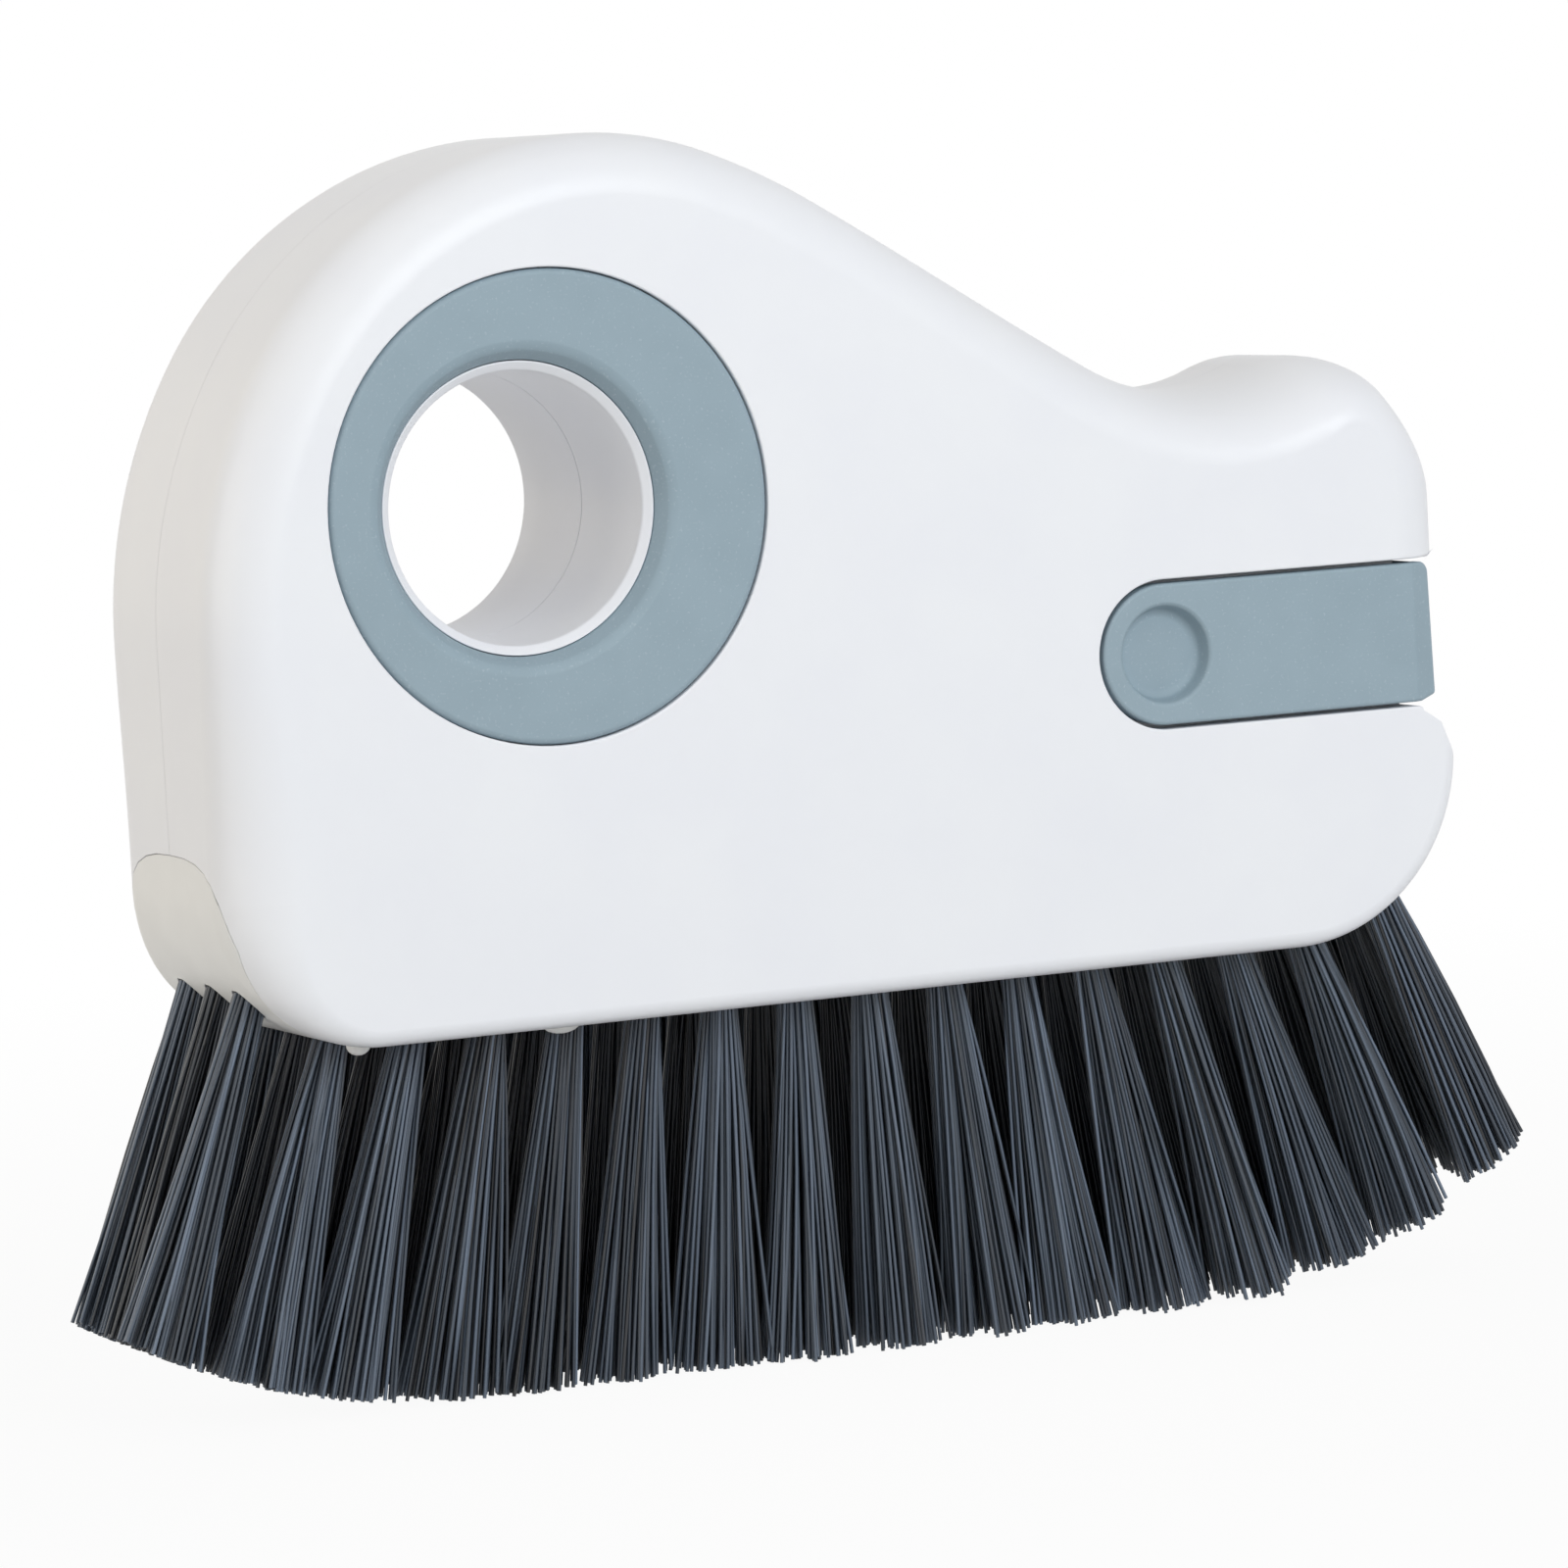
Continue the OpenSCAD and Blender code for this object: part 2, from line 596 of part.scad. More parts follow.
// One row: a slice of the backing with its strands drawn out of the same skin
module tuft_row(y_row) {
    nx = len(row_stations);
    ny = len(strand_cells);
    low = [for (s = row_stations) for (c = strand_cells)
        let (p = under(s, 0)) [p[0], y_row + c, p[1]]];
    top_at = nx * ny;
    high = [for (s = row_stations) for (e = [0, ny - 1])
        let (p = under(s, slice_t)) [p[0], y_row + strand_cells[e], p[1]]];
    tip_at = top_at + 2 * nx;
    tips = [
        for (k = [0 : tufts_in_row - 1]) for (i = [-1 : 1]) for (j = [-1 : 1])
            let (root = under(tuft_stations[k] + i * strand_pitch, 0),
                 tip = tip_point(root, lean(tuft_x(k)) + i * open_along),
                 y_tip = y_row + j * strand_pitch + j * (root[1] - tip[1]) * tan(open_across),
                 h = strand_t * strand_flare / 2)
            each [[tip[0] - h, y_tip - h, tip[1]], [tip[0] - h, y_tip + h, tip[1]],
                  [tip[0] + h, y_tip + h, tip[1]], [tip[0] + h, y_tip - h, tip[1]]]
    ];
    function lo(i, j) = i * ny + j;
    function hi(i, e) = top_at + 2 * i + e;
    function is_strand(i, j) = i % 2 == 0 && j % 2 == 0;
    function quad(a, b, c, d) = [[a, b, c], [a, c, d]];
    under_faces = [
        for (i = [0 : nx - 2]) for (j = [0 : ny - 2])
            if (!is_strand(i, j))
                each quad(lo(i, j), lo(i + 1, j), lo(i + 1, j + 1), lo(i, j + 1))
    ];
    strand_faces = [
        for (k = [0 : tufts_in_row - 1]) for (i = [0 : 2]) for (j = [0 : 2])
            let (u = k * ny + 2 * i, v = 2 * j, t = tip_at + 4 * ((k * 3 + i) * 3 + j),
                 r = [lo(u, v), lo(u, v + 1), lo(u + 1, v + 1), lo(u + 1, v)])
            each concat([for (m = [0 : 3]) each quad(r[m], t + m, t + (m + 1) % 4, r[(m + 1) % 4])],
                quad(t, t + 3, t + 2, t + 1))
    ];
    top_faces = [for (i = [0 : nx - 2]) each quad(hi(i, 0), hi(i, 1), hi(i + 1, 1), hi(i + 1, 0))];
    side_faces = [
        for (i = [0 : nx - 2])
            each concat(quad(lo(i, 0), hi(i, 0), hi(i + 1, 0), lo(i + 1, 0)),
                quad(lo(i + 1, ny - 1), hi(i + 1, 1), hi(i, 1), lo(i, ny - 1)))
    ];
    end_faces = [
        for (j = [0 : ny - 2])
            each [[lo(0, j), lo(0, j + 1), hi(0, 0)], [lo(nx - 1, j + 1), lo(nx - 1, j), hi(nx - 1, 0)]],
        [lo(0, ny - 1), hi(0, 1), hi(0, 0)],
        [hi(nx - 1, 1), lo(nx - 1, ny - 1), hi(nx - 1, 0)]
    ];
    color(strand_col)
        polyhedron(points = concat(low, high, tips),
            faces = concat(under_faces, strand_faces, top_faces, side_faces, end_faces),
            convexity = 12);
}
module front_tuft_row() {
    tuft_row(-row_pitch);
}
module middle_tuft_row() {
    tuft_row(0);
}
module rear_tuft_row() {
    tuft_row(row_pitch);
}

// Anchors cross the fold of each tuft, just above the slice of backing
module anchor_set(grow, foot) {
    for (k = [0 : tufts_in_row - 1], r = [-1 : 1])
        let (p = under(tuft_stations[k], slice_t + slice_fit + anchor_h / 2 + anchor_lift))
        translate([p[0], r * row_pitch, p[1]])
            rotate([0, -lean(tuft_x(k)), 0])
                translate([-anchor_t / 2 - grow, -anchor_len / 2 - grow, -anchor_h / 2 - foot])
                    cube([anchor_t + 2 * grow, anchor_len + 2 * grow, anchor_h + foot + grow]);
}
module tuft_anchors() {
    color(metal_col)
        anchor_set(0, 0);
}

module brush_block() {
    groove_w = 2 * strand_pitch + strand_t + 2 * slice_fit;
    s_first = row_stations[0] - slice_fit;
    s_last = row_stations[len(row_stations) - 1] + slice_fit;
    path = concat([s_first], row_stations, [s_last]);
    color(block_col)
        difference() {
            union() {
                intersection() {
                    block_room(0, 0);
                    skin_solid(concat(mirrored(edge_rings(0, half_t + skim, skin_bands)),
                        edge_rings(0, half_t + skim, skin_bands)));
                }
                for (x = tab_places, s = [-1, 1])
                    translate([x - tab_w / 2, s * (block_w - tab_t) / 2 - tab_t / 2, belly_z - tab_drop])
                        cube([tab_w, tab_t, tab_drop + tab_t]);
            }
            for (r = [-1 : 1])
                across(r * row_pitch - groove_w / 2, r * row_pitch + groove_w / 2)
                    polygon(concat([for (s = path) under(s, slice_t + slice_fit)],
                        [for (i = [len(path) - 1 : -1 : 0]) under(path[i], -1)]));
            anchor_set(anchor_fit, pocket_foot);
        }
}

front_shell();
rear_shell();
brush_block();
front_grip_ring();
rear_grip_ring();
slide_carrier();
slide_cover();
front_tuft_row();
middle_tuft_row();
rear_tuft_row();
tuft_anchors();
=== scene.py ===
# %% [markdown]
# # A hand brush for tile grout
#
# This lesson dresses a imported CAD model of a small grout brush: a thick white body with a
# finger hole, two soft grip rings, a scraper that slides out of the nose, and a fan of dark
# bristles. The CAD model gives the sizes and the motion. Blender gives the looks.
#
# The first cell loads the model as a fixed frame. Its objects are never moved or changed. A new
# piece rides on one of its bodies and takes the place of one of its nodes.

import math
import random

import bmesh
import bpy
from mathutils import Matrix, Vector


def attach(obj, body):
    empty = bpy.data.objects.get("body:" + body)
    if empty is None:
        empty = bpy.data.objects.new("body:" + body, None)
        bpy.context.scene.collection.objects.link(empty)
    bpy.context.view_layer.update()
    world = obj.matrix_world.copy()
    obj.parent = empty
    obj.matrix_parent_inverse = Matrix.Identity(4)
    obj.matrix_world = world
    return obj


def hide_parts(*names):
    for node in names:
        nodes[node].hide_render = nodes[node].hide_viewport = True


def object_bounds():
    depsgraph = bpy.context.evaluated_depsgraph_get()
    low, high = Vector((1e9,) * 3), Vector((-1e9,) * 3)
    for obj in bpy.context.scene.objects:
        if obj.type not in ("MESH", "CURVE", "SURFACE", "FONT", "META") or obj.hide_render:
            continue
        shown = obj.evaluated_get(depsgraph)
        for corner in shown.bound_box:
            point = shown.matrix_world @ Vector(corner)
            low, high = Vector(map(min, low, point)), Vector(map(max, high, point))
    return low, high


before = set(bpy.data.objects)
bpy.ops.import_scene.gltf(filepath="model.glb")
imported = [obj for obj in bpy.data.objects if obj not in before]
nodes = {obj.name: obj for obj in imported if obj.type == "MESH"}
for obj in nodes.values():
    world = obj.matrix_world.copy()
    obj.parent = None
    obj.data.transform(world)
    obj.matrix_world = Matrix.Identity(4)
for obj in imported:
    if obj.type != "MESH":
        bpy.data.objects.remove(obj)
cad_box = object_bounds()
MM = 0.001
print("nodes:", ", ".join(sorted(nodes)))
print("CAD box in mm:", [tuple(round(c / MM, 1) for c in corner) for corner in cad_box])

# %% [markdown]
# ## The camera
#
# A product photograph like this one is taken from far away through a long lens, which keeps the
# round hole nearly round and the two faces nearly parallel. The camera looks at a point inside
# the body from the heel side, a little from above, and it is turned slightly about its own
# viewing axis. The object itself stays upright on its bristles.

# %% Camera
PICTURE = 1600              # the photograph's side, in pixels
FOCAL_PIXELS = 7419.0       # focal length, in the photograph's pixels
SENSOR = 36.0               # Blender's sensor width, in millimetres
AZIMUTH, ELEVATION, ROLL = math.radians(-25.06), math.radians(5.0), math.radians(3.08)
DISTANCE = 770.9 * MM
TARGET = Vector((-1.41, 0.0, 59.88)) * MM

back = Vector((math.sin(AZIMUTH) * math.cos(ELEVATION), -math.cos(AZIMUTH) * math.cos(ELEVATION),
               math.sin(ELEVATION)))
right = Vector((math.cos(AZIMUTH), math.sin(AZIMUTH), 0))
up = back.cross(right)
rolled_right = right * math.cos(ROLL) - up * math.sin(ROLL)
rolled_up = up * math.cos(ROLL) + right * math.sin(ROLL)

camera_data = bpy.data.cameras.new("photo_camera")
camera_data.sensor_width = SENSOR
camera_data.lens = FOCAL_PIXELS / PICTURE * SENSOR
camera_data.clip_end = 20
camera = bpy.data.objects.new("photo_camera", camera_data)
bpy.context.scene.collection.objects.link(camera)
turn = Matrix((rolled_right, rolled_up, back)).transposed().to_4x4()
camera.matrix_world = Matrix.Translation(TARGET + back * DISTANCE) @ turn
bpy.context.scene.camera = camera
print("lens in mm:", round(camera_data.lens, 1))

# %% [markdown]
# ## Helpers for shapes
#
# Each piece starts in a `bmesh`, Blender's editable mesh, and is shaped by its operators. All
# shapes are drawn in millimetres, which keeps the numbers readable, and the finished mesh is
# scaled to metres once. One helper turns the bmesh into an object, one cuts or joins by a
# boolean, and one softens the edges. Moulded plastic never has a perfectly sharp edge, and the
# thin line of light on a small bevel is what makes an edge look real.

# %% Shape helpers
ROUND = 128                 # sides of a circle
SHARP_ANGLE = math.radians(40)


def to_object(name, bm):
    """Closes a bmesh into an object of the scene, with all normals pointing outward."""
    bmesh.ops.recalc_face_normals(bm, faces=bm.faces)
    mesh = bpy.data.meshes.new(name)
    bm.to_mesh(mesh)
    bm.free()
    obj = bpy.data.objects.new(name, mesh)
    bpy.context.scene.collection.objects.link(obj)
    return obj


def apply_modifiers(obj):
    """Puts the result of an object's modifiers into its mesh and removes the modifiers."""
    evaluated = obj.evaluated_get(bpy.context.evaluated_depsgraph_get())
    mesh = bpy.data.meshes.new_from_object(evaluated)
    obj.modifiers.clear()
    old, obj.data = obj.data, mesh
    bpy.data.meshes.remove(old)


def cut(obj, tool, operation="DIFFERENCE"):
    """Cuts, joins or intersects obj with a tool object, and removes the tool."""
    modifier = obj.modifiers.new("cut", "BOOLEAN")
    modifier.operation = operation
    modifier.solver = "EXACT"
    modifier.object = tool
    apply_modifiers(obj)
    bpy.data.objects.remove(tool)


def merge_close(obj, distance):
    """Merges the slivers that booleans leave, so that a bevel runs along an edge unbroken."""
    bm = bmesh.new()
    bm.from_mesh(obj.data)
    bmesh.ops.remove_doubles(bm, verts=bm.verts, dist=distance)
    bmesh.ops.dissolve_degenerate(bm, edges=bm.edges, dist=distance / 2)
    bm.to_mesh(obj.data)
    bm.free()


def soften(obj, width, segments=2, angle=50, spare=None):
    """Rounds every edge that turns by more than the angle, apart from those that spare() names."""
    bm = bmesh.new()
    bm.from_mesh(obj.data)
    sharp = [e for e in bm.edges if len(e.link_faces) == 2 and e.calc_face_angle() > math.radians(angle)
             and not (spare and all(spare(v.co) for v in e.verts))]
    bmesh.ops.bevel(bm, geom=sharp, offset=width, segments=segments, affect="EDGES", profile=0.5,
                    clamp_overlap=False, material=-1)
    bm.to_mesh(obj.data)
    bm.free()


def even_shading(obj):
    """Smooth shading in which large flat faces stay flat beside their rounded edges."""
    for face in obj.data.polygons:
        face.use_smooth = True
    obj.data.set_sharp_from_angle(angle=SHARP_ANGLE)
    weighted = obj.modifiers.new("even_shading", "WEIGHTED_NORMAL")
    weighted.weight = 60
    weighted.keep_sharp = True
    apply_modifiers(obj)


def rod(bm, x, z, radius, y0, y1, radius_end=None):
    """A round rod along Y from y0 to y1, or a cone where it ends in another radius."""
    place = Matrix.Translation((x, (y0 + y1) / 2, z)) @ Matrix.Rotation(-math.pi / 2, 4, "X")
    bmesh.ops.create_cone(bm, cap_ends=True, segments=ROUND, radius1=radius,
                          radius2=radius if radius_end is None else radius_end,
                          depth=y1 - y0, matrix=place)


def block(bm, x0, x1, y0, y1, z0, z1):
    """A box between two corners."""
    place = Matrix.Translation(((x0 + x1) / 2, (y0 + y1) / 2, (z0 + z1) / 2))
    bmesh.ops.create_cube(bm, size=1, matrix=place @ Matrix.Diagonal((x1 - x0, y1 - y0, z1 - z0, 1)))


def single(name, shape, *sizes, **more):
    """An object of its own from one shape helper, for use as a cutter."""
    bm = bmesh.new()
    shape(bm, *sizes, **more)
    return to_object(name, bm)


def prism(bm, points, y0, y1):
    """Draws a closed outline from a few points (x, z) and extrudes it across the body."""
    corners = [bm.verts.new((x, y0, z)) for x, z in points]
    face = bmesh.ops.contextual_create(bm, geom=corners)["faces"]
    made = bmesh.ops.extrude_face_region(bm, geom=face)
    moved = [g for g in made["geom"] if isinstance(g, bmesh.types.BMVert)]
    bmesh.ops.translate(bm, verts=moved, vec=(0, y1 - y0, 0))


def circle_loop(bm, x, z, radius, y, segments=ROUND):
    """A circle of edges in a plane across Y."""
    place = Matrix.Translation((x, y, z)) @ Matrix.Rotation(math.pi / 2, 4, "X")
    made = bmesh.ops.create_circle(bm, cap_ends=False, segments=segments, radius=radius, matrix=place)
    return list(dict.fromkeys(e for v in made["verts"] for e in v.link_edges))


def bridge(bm, loop_a, loop_b):
    """Joins two loops of edges by a band of faces."""
    bmesh.ops.bridge_loops(bm, edges=loop_a + loop_b)


def mirrored(obj, name):
    """A copy of a piece for the rear face. A mirror turns faces inside out, so they are turned back."""
    bm = bmesh.new()
    bm.from_mesh(obj.data)
    bmesh.ops.scale(bm, verts=bm.verts, vec=(1, -1, 1))
    bmesh.ops.reverse_faces(bm, faces=bm.faces)
    copy = to_object(name, bm)
    even_shading(copy)
    return copy


# %% [markdown]
# ## The body's outline
#
# Seen from the side the body is one closed chain of straight runs and arcs that flow into each
# other: upright heel, three arcs over the hump, a straight slope, a hollow for the thumb, a bump
# and the nose. A free curve through many points could follow the same shape, but its bends would
# waver. A chain of arcs is how a product designer draws it, and each arc keeps one clean radius.
#
# Each run also has a note of how wide the edge rounding is at its end, in the plane of the face
# and across the thickness, because the rounding grows over the thumb bump and shrinks along the
# underside.

# %% Sizes of the body
HALF_T = 18.0
BELLY_Z, HEEL_R, TOE_R = 38.7, 15.6, 20.3
HEEL_SIDE, HEEL_TONGUE = 25.6, 19.8
HUMP_ROUND, BUMP_ROUND, BUMP_CROWN = 6.5, 8.5, 14.0
NOSE_ROUND, TOE_ROUND, BELLY_ROUND, HEEL_ROUND = 6.4, 2.0, 1.8, 7.6
SLOPE, SADDLE_TURN, BUMP_TURN = 30.6, 53.4, 71.5
HUMP = [(55.0, 30.7), (44.4, 50.0), (38.2, 29.4)]
LEAD_R, SLOPE_LEN, SADDLE_R, BUMP_R, BROW_R = 71.0, 38.0, 24.8, 11.1, 18.2
SLIDE_Z = BELLY_Z + 32.8
STEP = 1.5                  # degrees of turn between two vertices of an arc

lead_turn = 90 + SLOPE - sum(turn for _, turn in HUMP)
brow_turn = 90 - SLOPE + SADDLE_TURN - BUMP_TURN
heel_low = HEEL_TONGUE - HEEL_R


def run_end(point, heading, size, turn):
    """Where a run ends, and its heading there. A positive turn hollows the outline."""
    if turn == 0:
        return point + size * Vector((math.cos(heading), math.sin(heading))), heading
    after = heading + math.radians(turn)
    side = math.copysign(size, turn)
    left, left_after = (Vector((-math.sin(a), math.cos(a))) for a in (heading, after))
    return point + side * (left - left_after), after


# A run is its length or radius, its turn in degrees, and its edge rounding and crown at its end.
upper = [(heel_low, 0, HEEL_ROUND, HEEL_ROUND), (HEEL_SIDE - heel_low, 0, HUMP_ROUND, HUMP_ROUND)]
upper += [(radius, -turn, HUMP_ROUND, HUMP_ROUND) for radius, turn in HUMP]
upper += [
    (LEAD_R, -lead_turn, HUMP_ROUND, HUMP_ROUND),
    (SLOPE_LEN, 0, (HUMP_ROUND + BUMP_ROUND) / 2, (HUMP_ROUND + BUMP_CROWN) / 2),
    (SADDLE_R, SADDLE_TURN, BUMP_ROUND, BUMP_CROWN),
    (BUMP_R, -BUMP_TURN, NOSE_ROUND, (BUMP_CROWN + NOSE_ROUND) / 2),
    (BROW_R, -brow_turn, NOSE_ROUND, NOSE_ROUND),
]
point, heading = Vector((0, BELLY_Z + HEEL_R)), math.pi / 2
for size, turn, _, _ in upper:
    point, heading = run_end(point, heading, size, turn)
BODY_LEN, brow_z = point
HEEL_X, NOSE_X = -BODY_LEN / 2, BODY_LEN / 2
RUNS = upper + [
    (brow_z - SLIDE_Z, 0, NOSE_ROUND, NOSE_ROUND),
    (SLIDE_Z - BELLY_Z - TOE_R, 0, TOE_ROUND, TOE_ROUND),
    (TOE_R, -90, BELLY_ROUND, BELLY_ROUND),
    (BODY_LEN - TOE_R - HEEL_R, 0, BELLY_ROUND, BELLY_ROUND),
    (HEEL_R, -90, HEEL_ROUND, HEEL_ROUND),
]
print("body length in mm:", round(BODY_LEN, 1))

# %% [markdown]
# The chain is now walked once. `bmesh.ops.spin` drags a single vertex round a centre and leaves an
# arc behind, and `extrude_vert_indiv` followed by `translate` leaves a straight run. The walk ends
# where it began, so the small gap that is left shows how well the numbers close.

# %% Walking the outline
def outline_wire(bm):
    """The closed outline as a wire, and for each vertex (x, z, outward x, outward z, rounding, crown)."""
    vert = bm.verts.new((HEEL_X, 0, BELLY_Z + HEEL_R))
    heading, before = math.pi / 2, RUNS[-1]
    verts, marks = [], []
    for size, turn, edge_round, crown in RUNS:
        steps = round(abs(turn) / STEP) if turn else round(size / 2)
        for k in range(steps):
            f = k / steps
            ease = f * f * (3 - 2 * f)
            angle = heading + math.radians(turn) * f
            verts.append(vert)
            marks.append((vert.co.x, vert.co.z, -math.sin(angle), math.cos(angle),
                          before[2] + ease * (edge_round - before[2]),
                          before[3] + ease * (crown - before[3])))
            if turn:
                side = math.copysign(size, turn)
                centre = vert.co + side * Vector((-math.sin(angle), 0, math.cos(angle)))
                made = bmesh.ops.spin(bm, geom=[vert], cent=centre, axis=(0, -1, 0), dvec=(0, 0, 0),
                                      angle=math.radians(turn) / steps, steps=1, use_merge=False,
                                      use_normal_flip=False, use_duplicate=False)["geom_last"]
            else:
                made = bmesh.ops.extrude_vert_indiv(bm, verts=[vert])["verts"]
            vert = [g for g in made if isinstance(g, bmesh.types.BMVert)][0]
            if not turn:
                step = Vector((math.cos(angle), 0, math.sin(angle))) * size / steps
                bmesh.ops.translate(bm, verts=[vert], vec=step)
        heading += math.radians(turn)
        before = (size, turn, edge_round, crown)
    bmesh.ops.pointmerge(bm, verts=[verts[0], vert], merge_co=verts[0].co.copy())
    return [v for v in verts if v.is_valid], marks


trial = bmesh.new()
trial_verts, OUTLINE = outline_wire(trial)
gap = (Vector((trial_verts[0].co.x, trial_verts[0].co.z)) - Vector(OUTLINE[0][:2])).length
print("outline vertices:", len(OUTLINE), "edges:", len(trial.edges), "gap:", round(gap, 4))
trial.free()

# %% [markdown]
# ## The skin of the body
#
# The skin is lofted from the outline: the wire is extruded toward the face, and every new ring is
# drawn inward a little more, along an ellipse whose two radii are the rounding and the crown. A
# filled face closes the flat side. This keeps the rounding exact where it changes width, which a
# bevel of one width can't do. The same loft gives both shells and the brush block that closes the
# body's underside.

# %% Skin
BANDS = 12                  # steps across the edge rounding
SEAM = 0.09                 # half the width of the groove where the two shells meet


def flat_ring(y, inset=0.0):
    """The outline itself at a depth y, drawn in by an inset."""
    return [(x - inset * nx, y, z - inset * nz) for x, z, nx, nz, _, _ in OUTLINE]


def rounded_ring(side, angle):
    """A ring of the edge rounding, from the side wall at 0 degrees to the face at 90."""
    lean, drop = 1 - math.cos(angle), 1 - math.sin(angle)
    return [(x - r * lean * nx, side * (HALF_T - crown * drop), z - r * lean * nz)
            for x, z, nx, nz, r, crown in OUTLINE]


def face_rings(side):
    """All rings of the edge rounding of one face."""
    return [rounded_ring(side, math.pi / 2 * k / BANDS) for k in range(BANDS + 1)]


def loft(name, rings):
    """A closed solid through rings of the outline, each extruded from the one before."""
    bm = bmesh.new()
    verts, _ = outline_wire(bm)
    place = {v: i for i, v in enumerate(verts)}
    edges = list(bm.edges)
    for v, i in place.items():
        v.co = rings[0][i]
    bmesh.ops.contextual_create(bm, geom=edges)
    for ring in rings[1:]:
        made = bmesh.ops.extrude_edge_only(bm, edges=edges)["geom"]
        grown = {}
        for v in (g for g in made if isinstance(g, bmesh.types.BMVert)):
            old = next(e.other_vert(v) for e in v.link_edges if e.other_vert(v) in place)
            grown[v] = place[old]
        for v, i in grown.items():
            v.co = ring[i]
        place = grown
        edges = [g for g in made if isinstance(g, bmesh.types.BMEdge)
                 and all(v in place for v in g.verts)]
    bmesh.ops.contextual_create(bm, geom=edges)
    return to_object(name, bm)


print("rings of one face:", len(face_rings(-1)))

# %% [markdown]
# ## The front and rear shell
#
# The body is moulded as two shells that meet at mid thickness, where a fine groove stays
# visible. The pockets are cut by booleans, as a toolmaker would sink them: the seat of the grip
# ring, the finger hole with its bevelled rim, the channel of the slide, the slot for its web, the
# recess in the nose with the hollowed lip under it, and the room for the brush block. The rear
# shell is the mirror image of the front one.

# %% Sizes of the pockets
BORE_X, BORE_Z, BORE_R = HEEL_X + 34, BELLY_Z + 53.3, 14.0
LIP_R, LIP_DROP, LIP_BEVEL = 15.0, 1.8, 0.8
RING_X, RING_R, RING_T, RING_FIT = BORE_X + 2.75, 24.2, 3.0, 0.12
SLIDE_X, SLIDE_GAP, CHANNEL_HALF, CHANNEL_DEPTH = NOSE_X - 35.3, 0.45, 7.95, 3.15
SLIDE_HALF = CHANNEL_HALF - SLIDE_GAP
SLIDE_END, CHEEK_T, COVER_WALL, CORE_T, WEB_T = NOSE_X - 1.5, 2.7, 1.5, 2.0, 3.0
COVER_IN_X = SLIDE_END - COVER_WALL
NOSE_RECESS_X = COVER_IN_X - CORE_T - SLIDE_GAP
WEB_X = SLIDE_X - 5
BLOCK_W, BLOCK_H, TONGUE_T, TOE_TONGUE = 28.0, 9.0, 4.0, 16.0
BLOCK_FIT = 0.05            # the groove that shows round the block
FACE = -HALF_T
OUT = 2                     # how far a cutter stands out of what it cuts
PAST_NOSE = 4               # and how far beyond the ends of the body
print("finger hole at x, z in mm:", round(BORE_X, 1), round(BORE_Z, 1))

# %% [markdown]
# The brush block rises at heel and toe in a tongue with an arched top. Its arch is written as a few
# half widths with their depths below the top, and one function draws both tongues and their rooms,
# so that the block and the hole it sits in always match.

# %% The block's room
# Half widths of a tongue's arch, and how far each lies below its top
ARCH = [(0, 0), (4, 0.1), (7, 0.5), (9.5, 1.3), (11.2, 2.5), (12.4, 4.2), (13.3, 6.4), (14, 9), (14, 40)]


def tongue(bm, x0, x1, top, grow):
    """A tongue of the brush block: an arch that spreads toward the underside."""
    half = [((w + grow) if w else 0, top + grow - min(d, top + grow - BELLY_Z + OUT))
            for w, d in ARCH]
    loop = half + [(-y, z) for y, z in half[:0:-1]]
    corners = [bm.verts.new((x0, y, z)) for y, z in loop]
    face = bmesh.ops.contextual_create(bm, geom=corners)["faces"]
    made = bmesh.ops.extrude_face_region(bm, geom=face)
    moved = [g for g in made["geom"] if isinstance(g, bmesh.types.BMVert)]
    bmesh.ops.translate(bm, verts=moved, vec=(x1 - x0, 0, 0))


def block_room(grow, reach):
    """The brush block's room: a long base and the two tongues, as three solids."""
    half_w = BLOCK_W / 2 + grow
    base = single("room", block, HEEL_X - reach, NOSE_X + reach, -half_w, half_w,
                  BELLY_Z - OUT, BELLY_Z + BLOCK_H + grow)
    heel = single("heel_room", tongue, HEEL_X - reach, HEEL_X + TONGUE_T + grow,
                  BELLY_Z + HEEL_TONGUE, grow)
    toe = single("toe_room", tongue, NOSE_X - TONGUE_T - grow, NOSE_X + reach,
                 BELLY_Z + TOE_TONGUE, grow)
    cut(base, heel, "UNION")
    cut(base, toe, "UNION")
    return base


# %% [markdown]
# Each cutter is a simple solid. Some are joined first, so that one clean cut is made where several
# shapes meet.

# %% Seat, hole and channel
front_shell = loft("front_shell_skin", [flat_ring(0, SEAM), flat_ring(-SEAM)] + face_rings(-1))

seat = single("seat", rod, RING_X, BORE_Z, RING_R + RING_FIT, FACE - OUT, FACE + RING_T)
cut(seat, single("rim", rod, BORE_X, BORE_Z, LIP_R, FACE + LIP_DROP, 0))
cut(front_shell, seat)
cut(front_shell, single("hole", rod, BORE_X, BORE_Z, BORE_R, FACE - OUT, OUT))
cut(front_shell, single("rim_bevel", rod, BORE_X, BORE_Z, 2 * LIP_R - BORE_R,
                        FACE + LIP_DROP - LIP_BEVEL, FACE + LIP_DROP + LIP_BEVEL, radius_end=BORE_R))
cut(front_shell, single("seam_in_hole", rod, BORE_X, BORE_Z, BORE_R + SEAM, -SEAM, OUT))

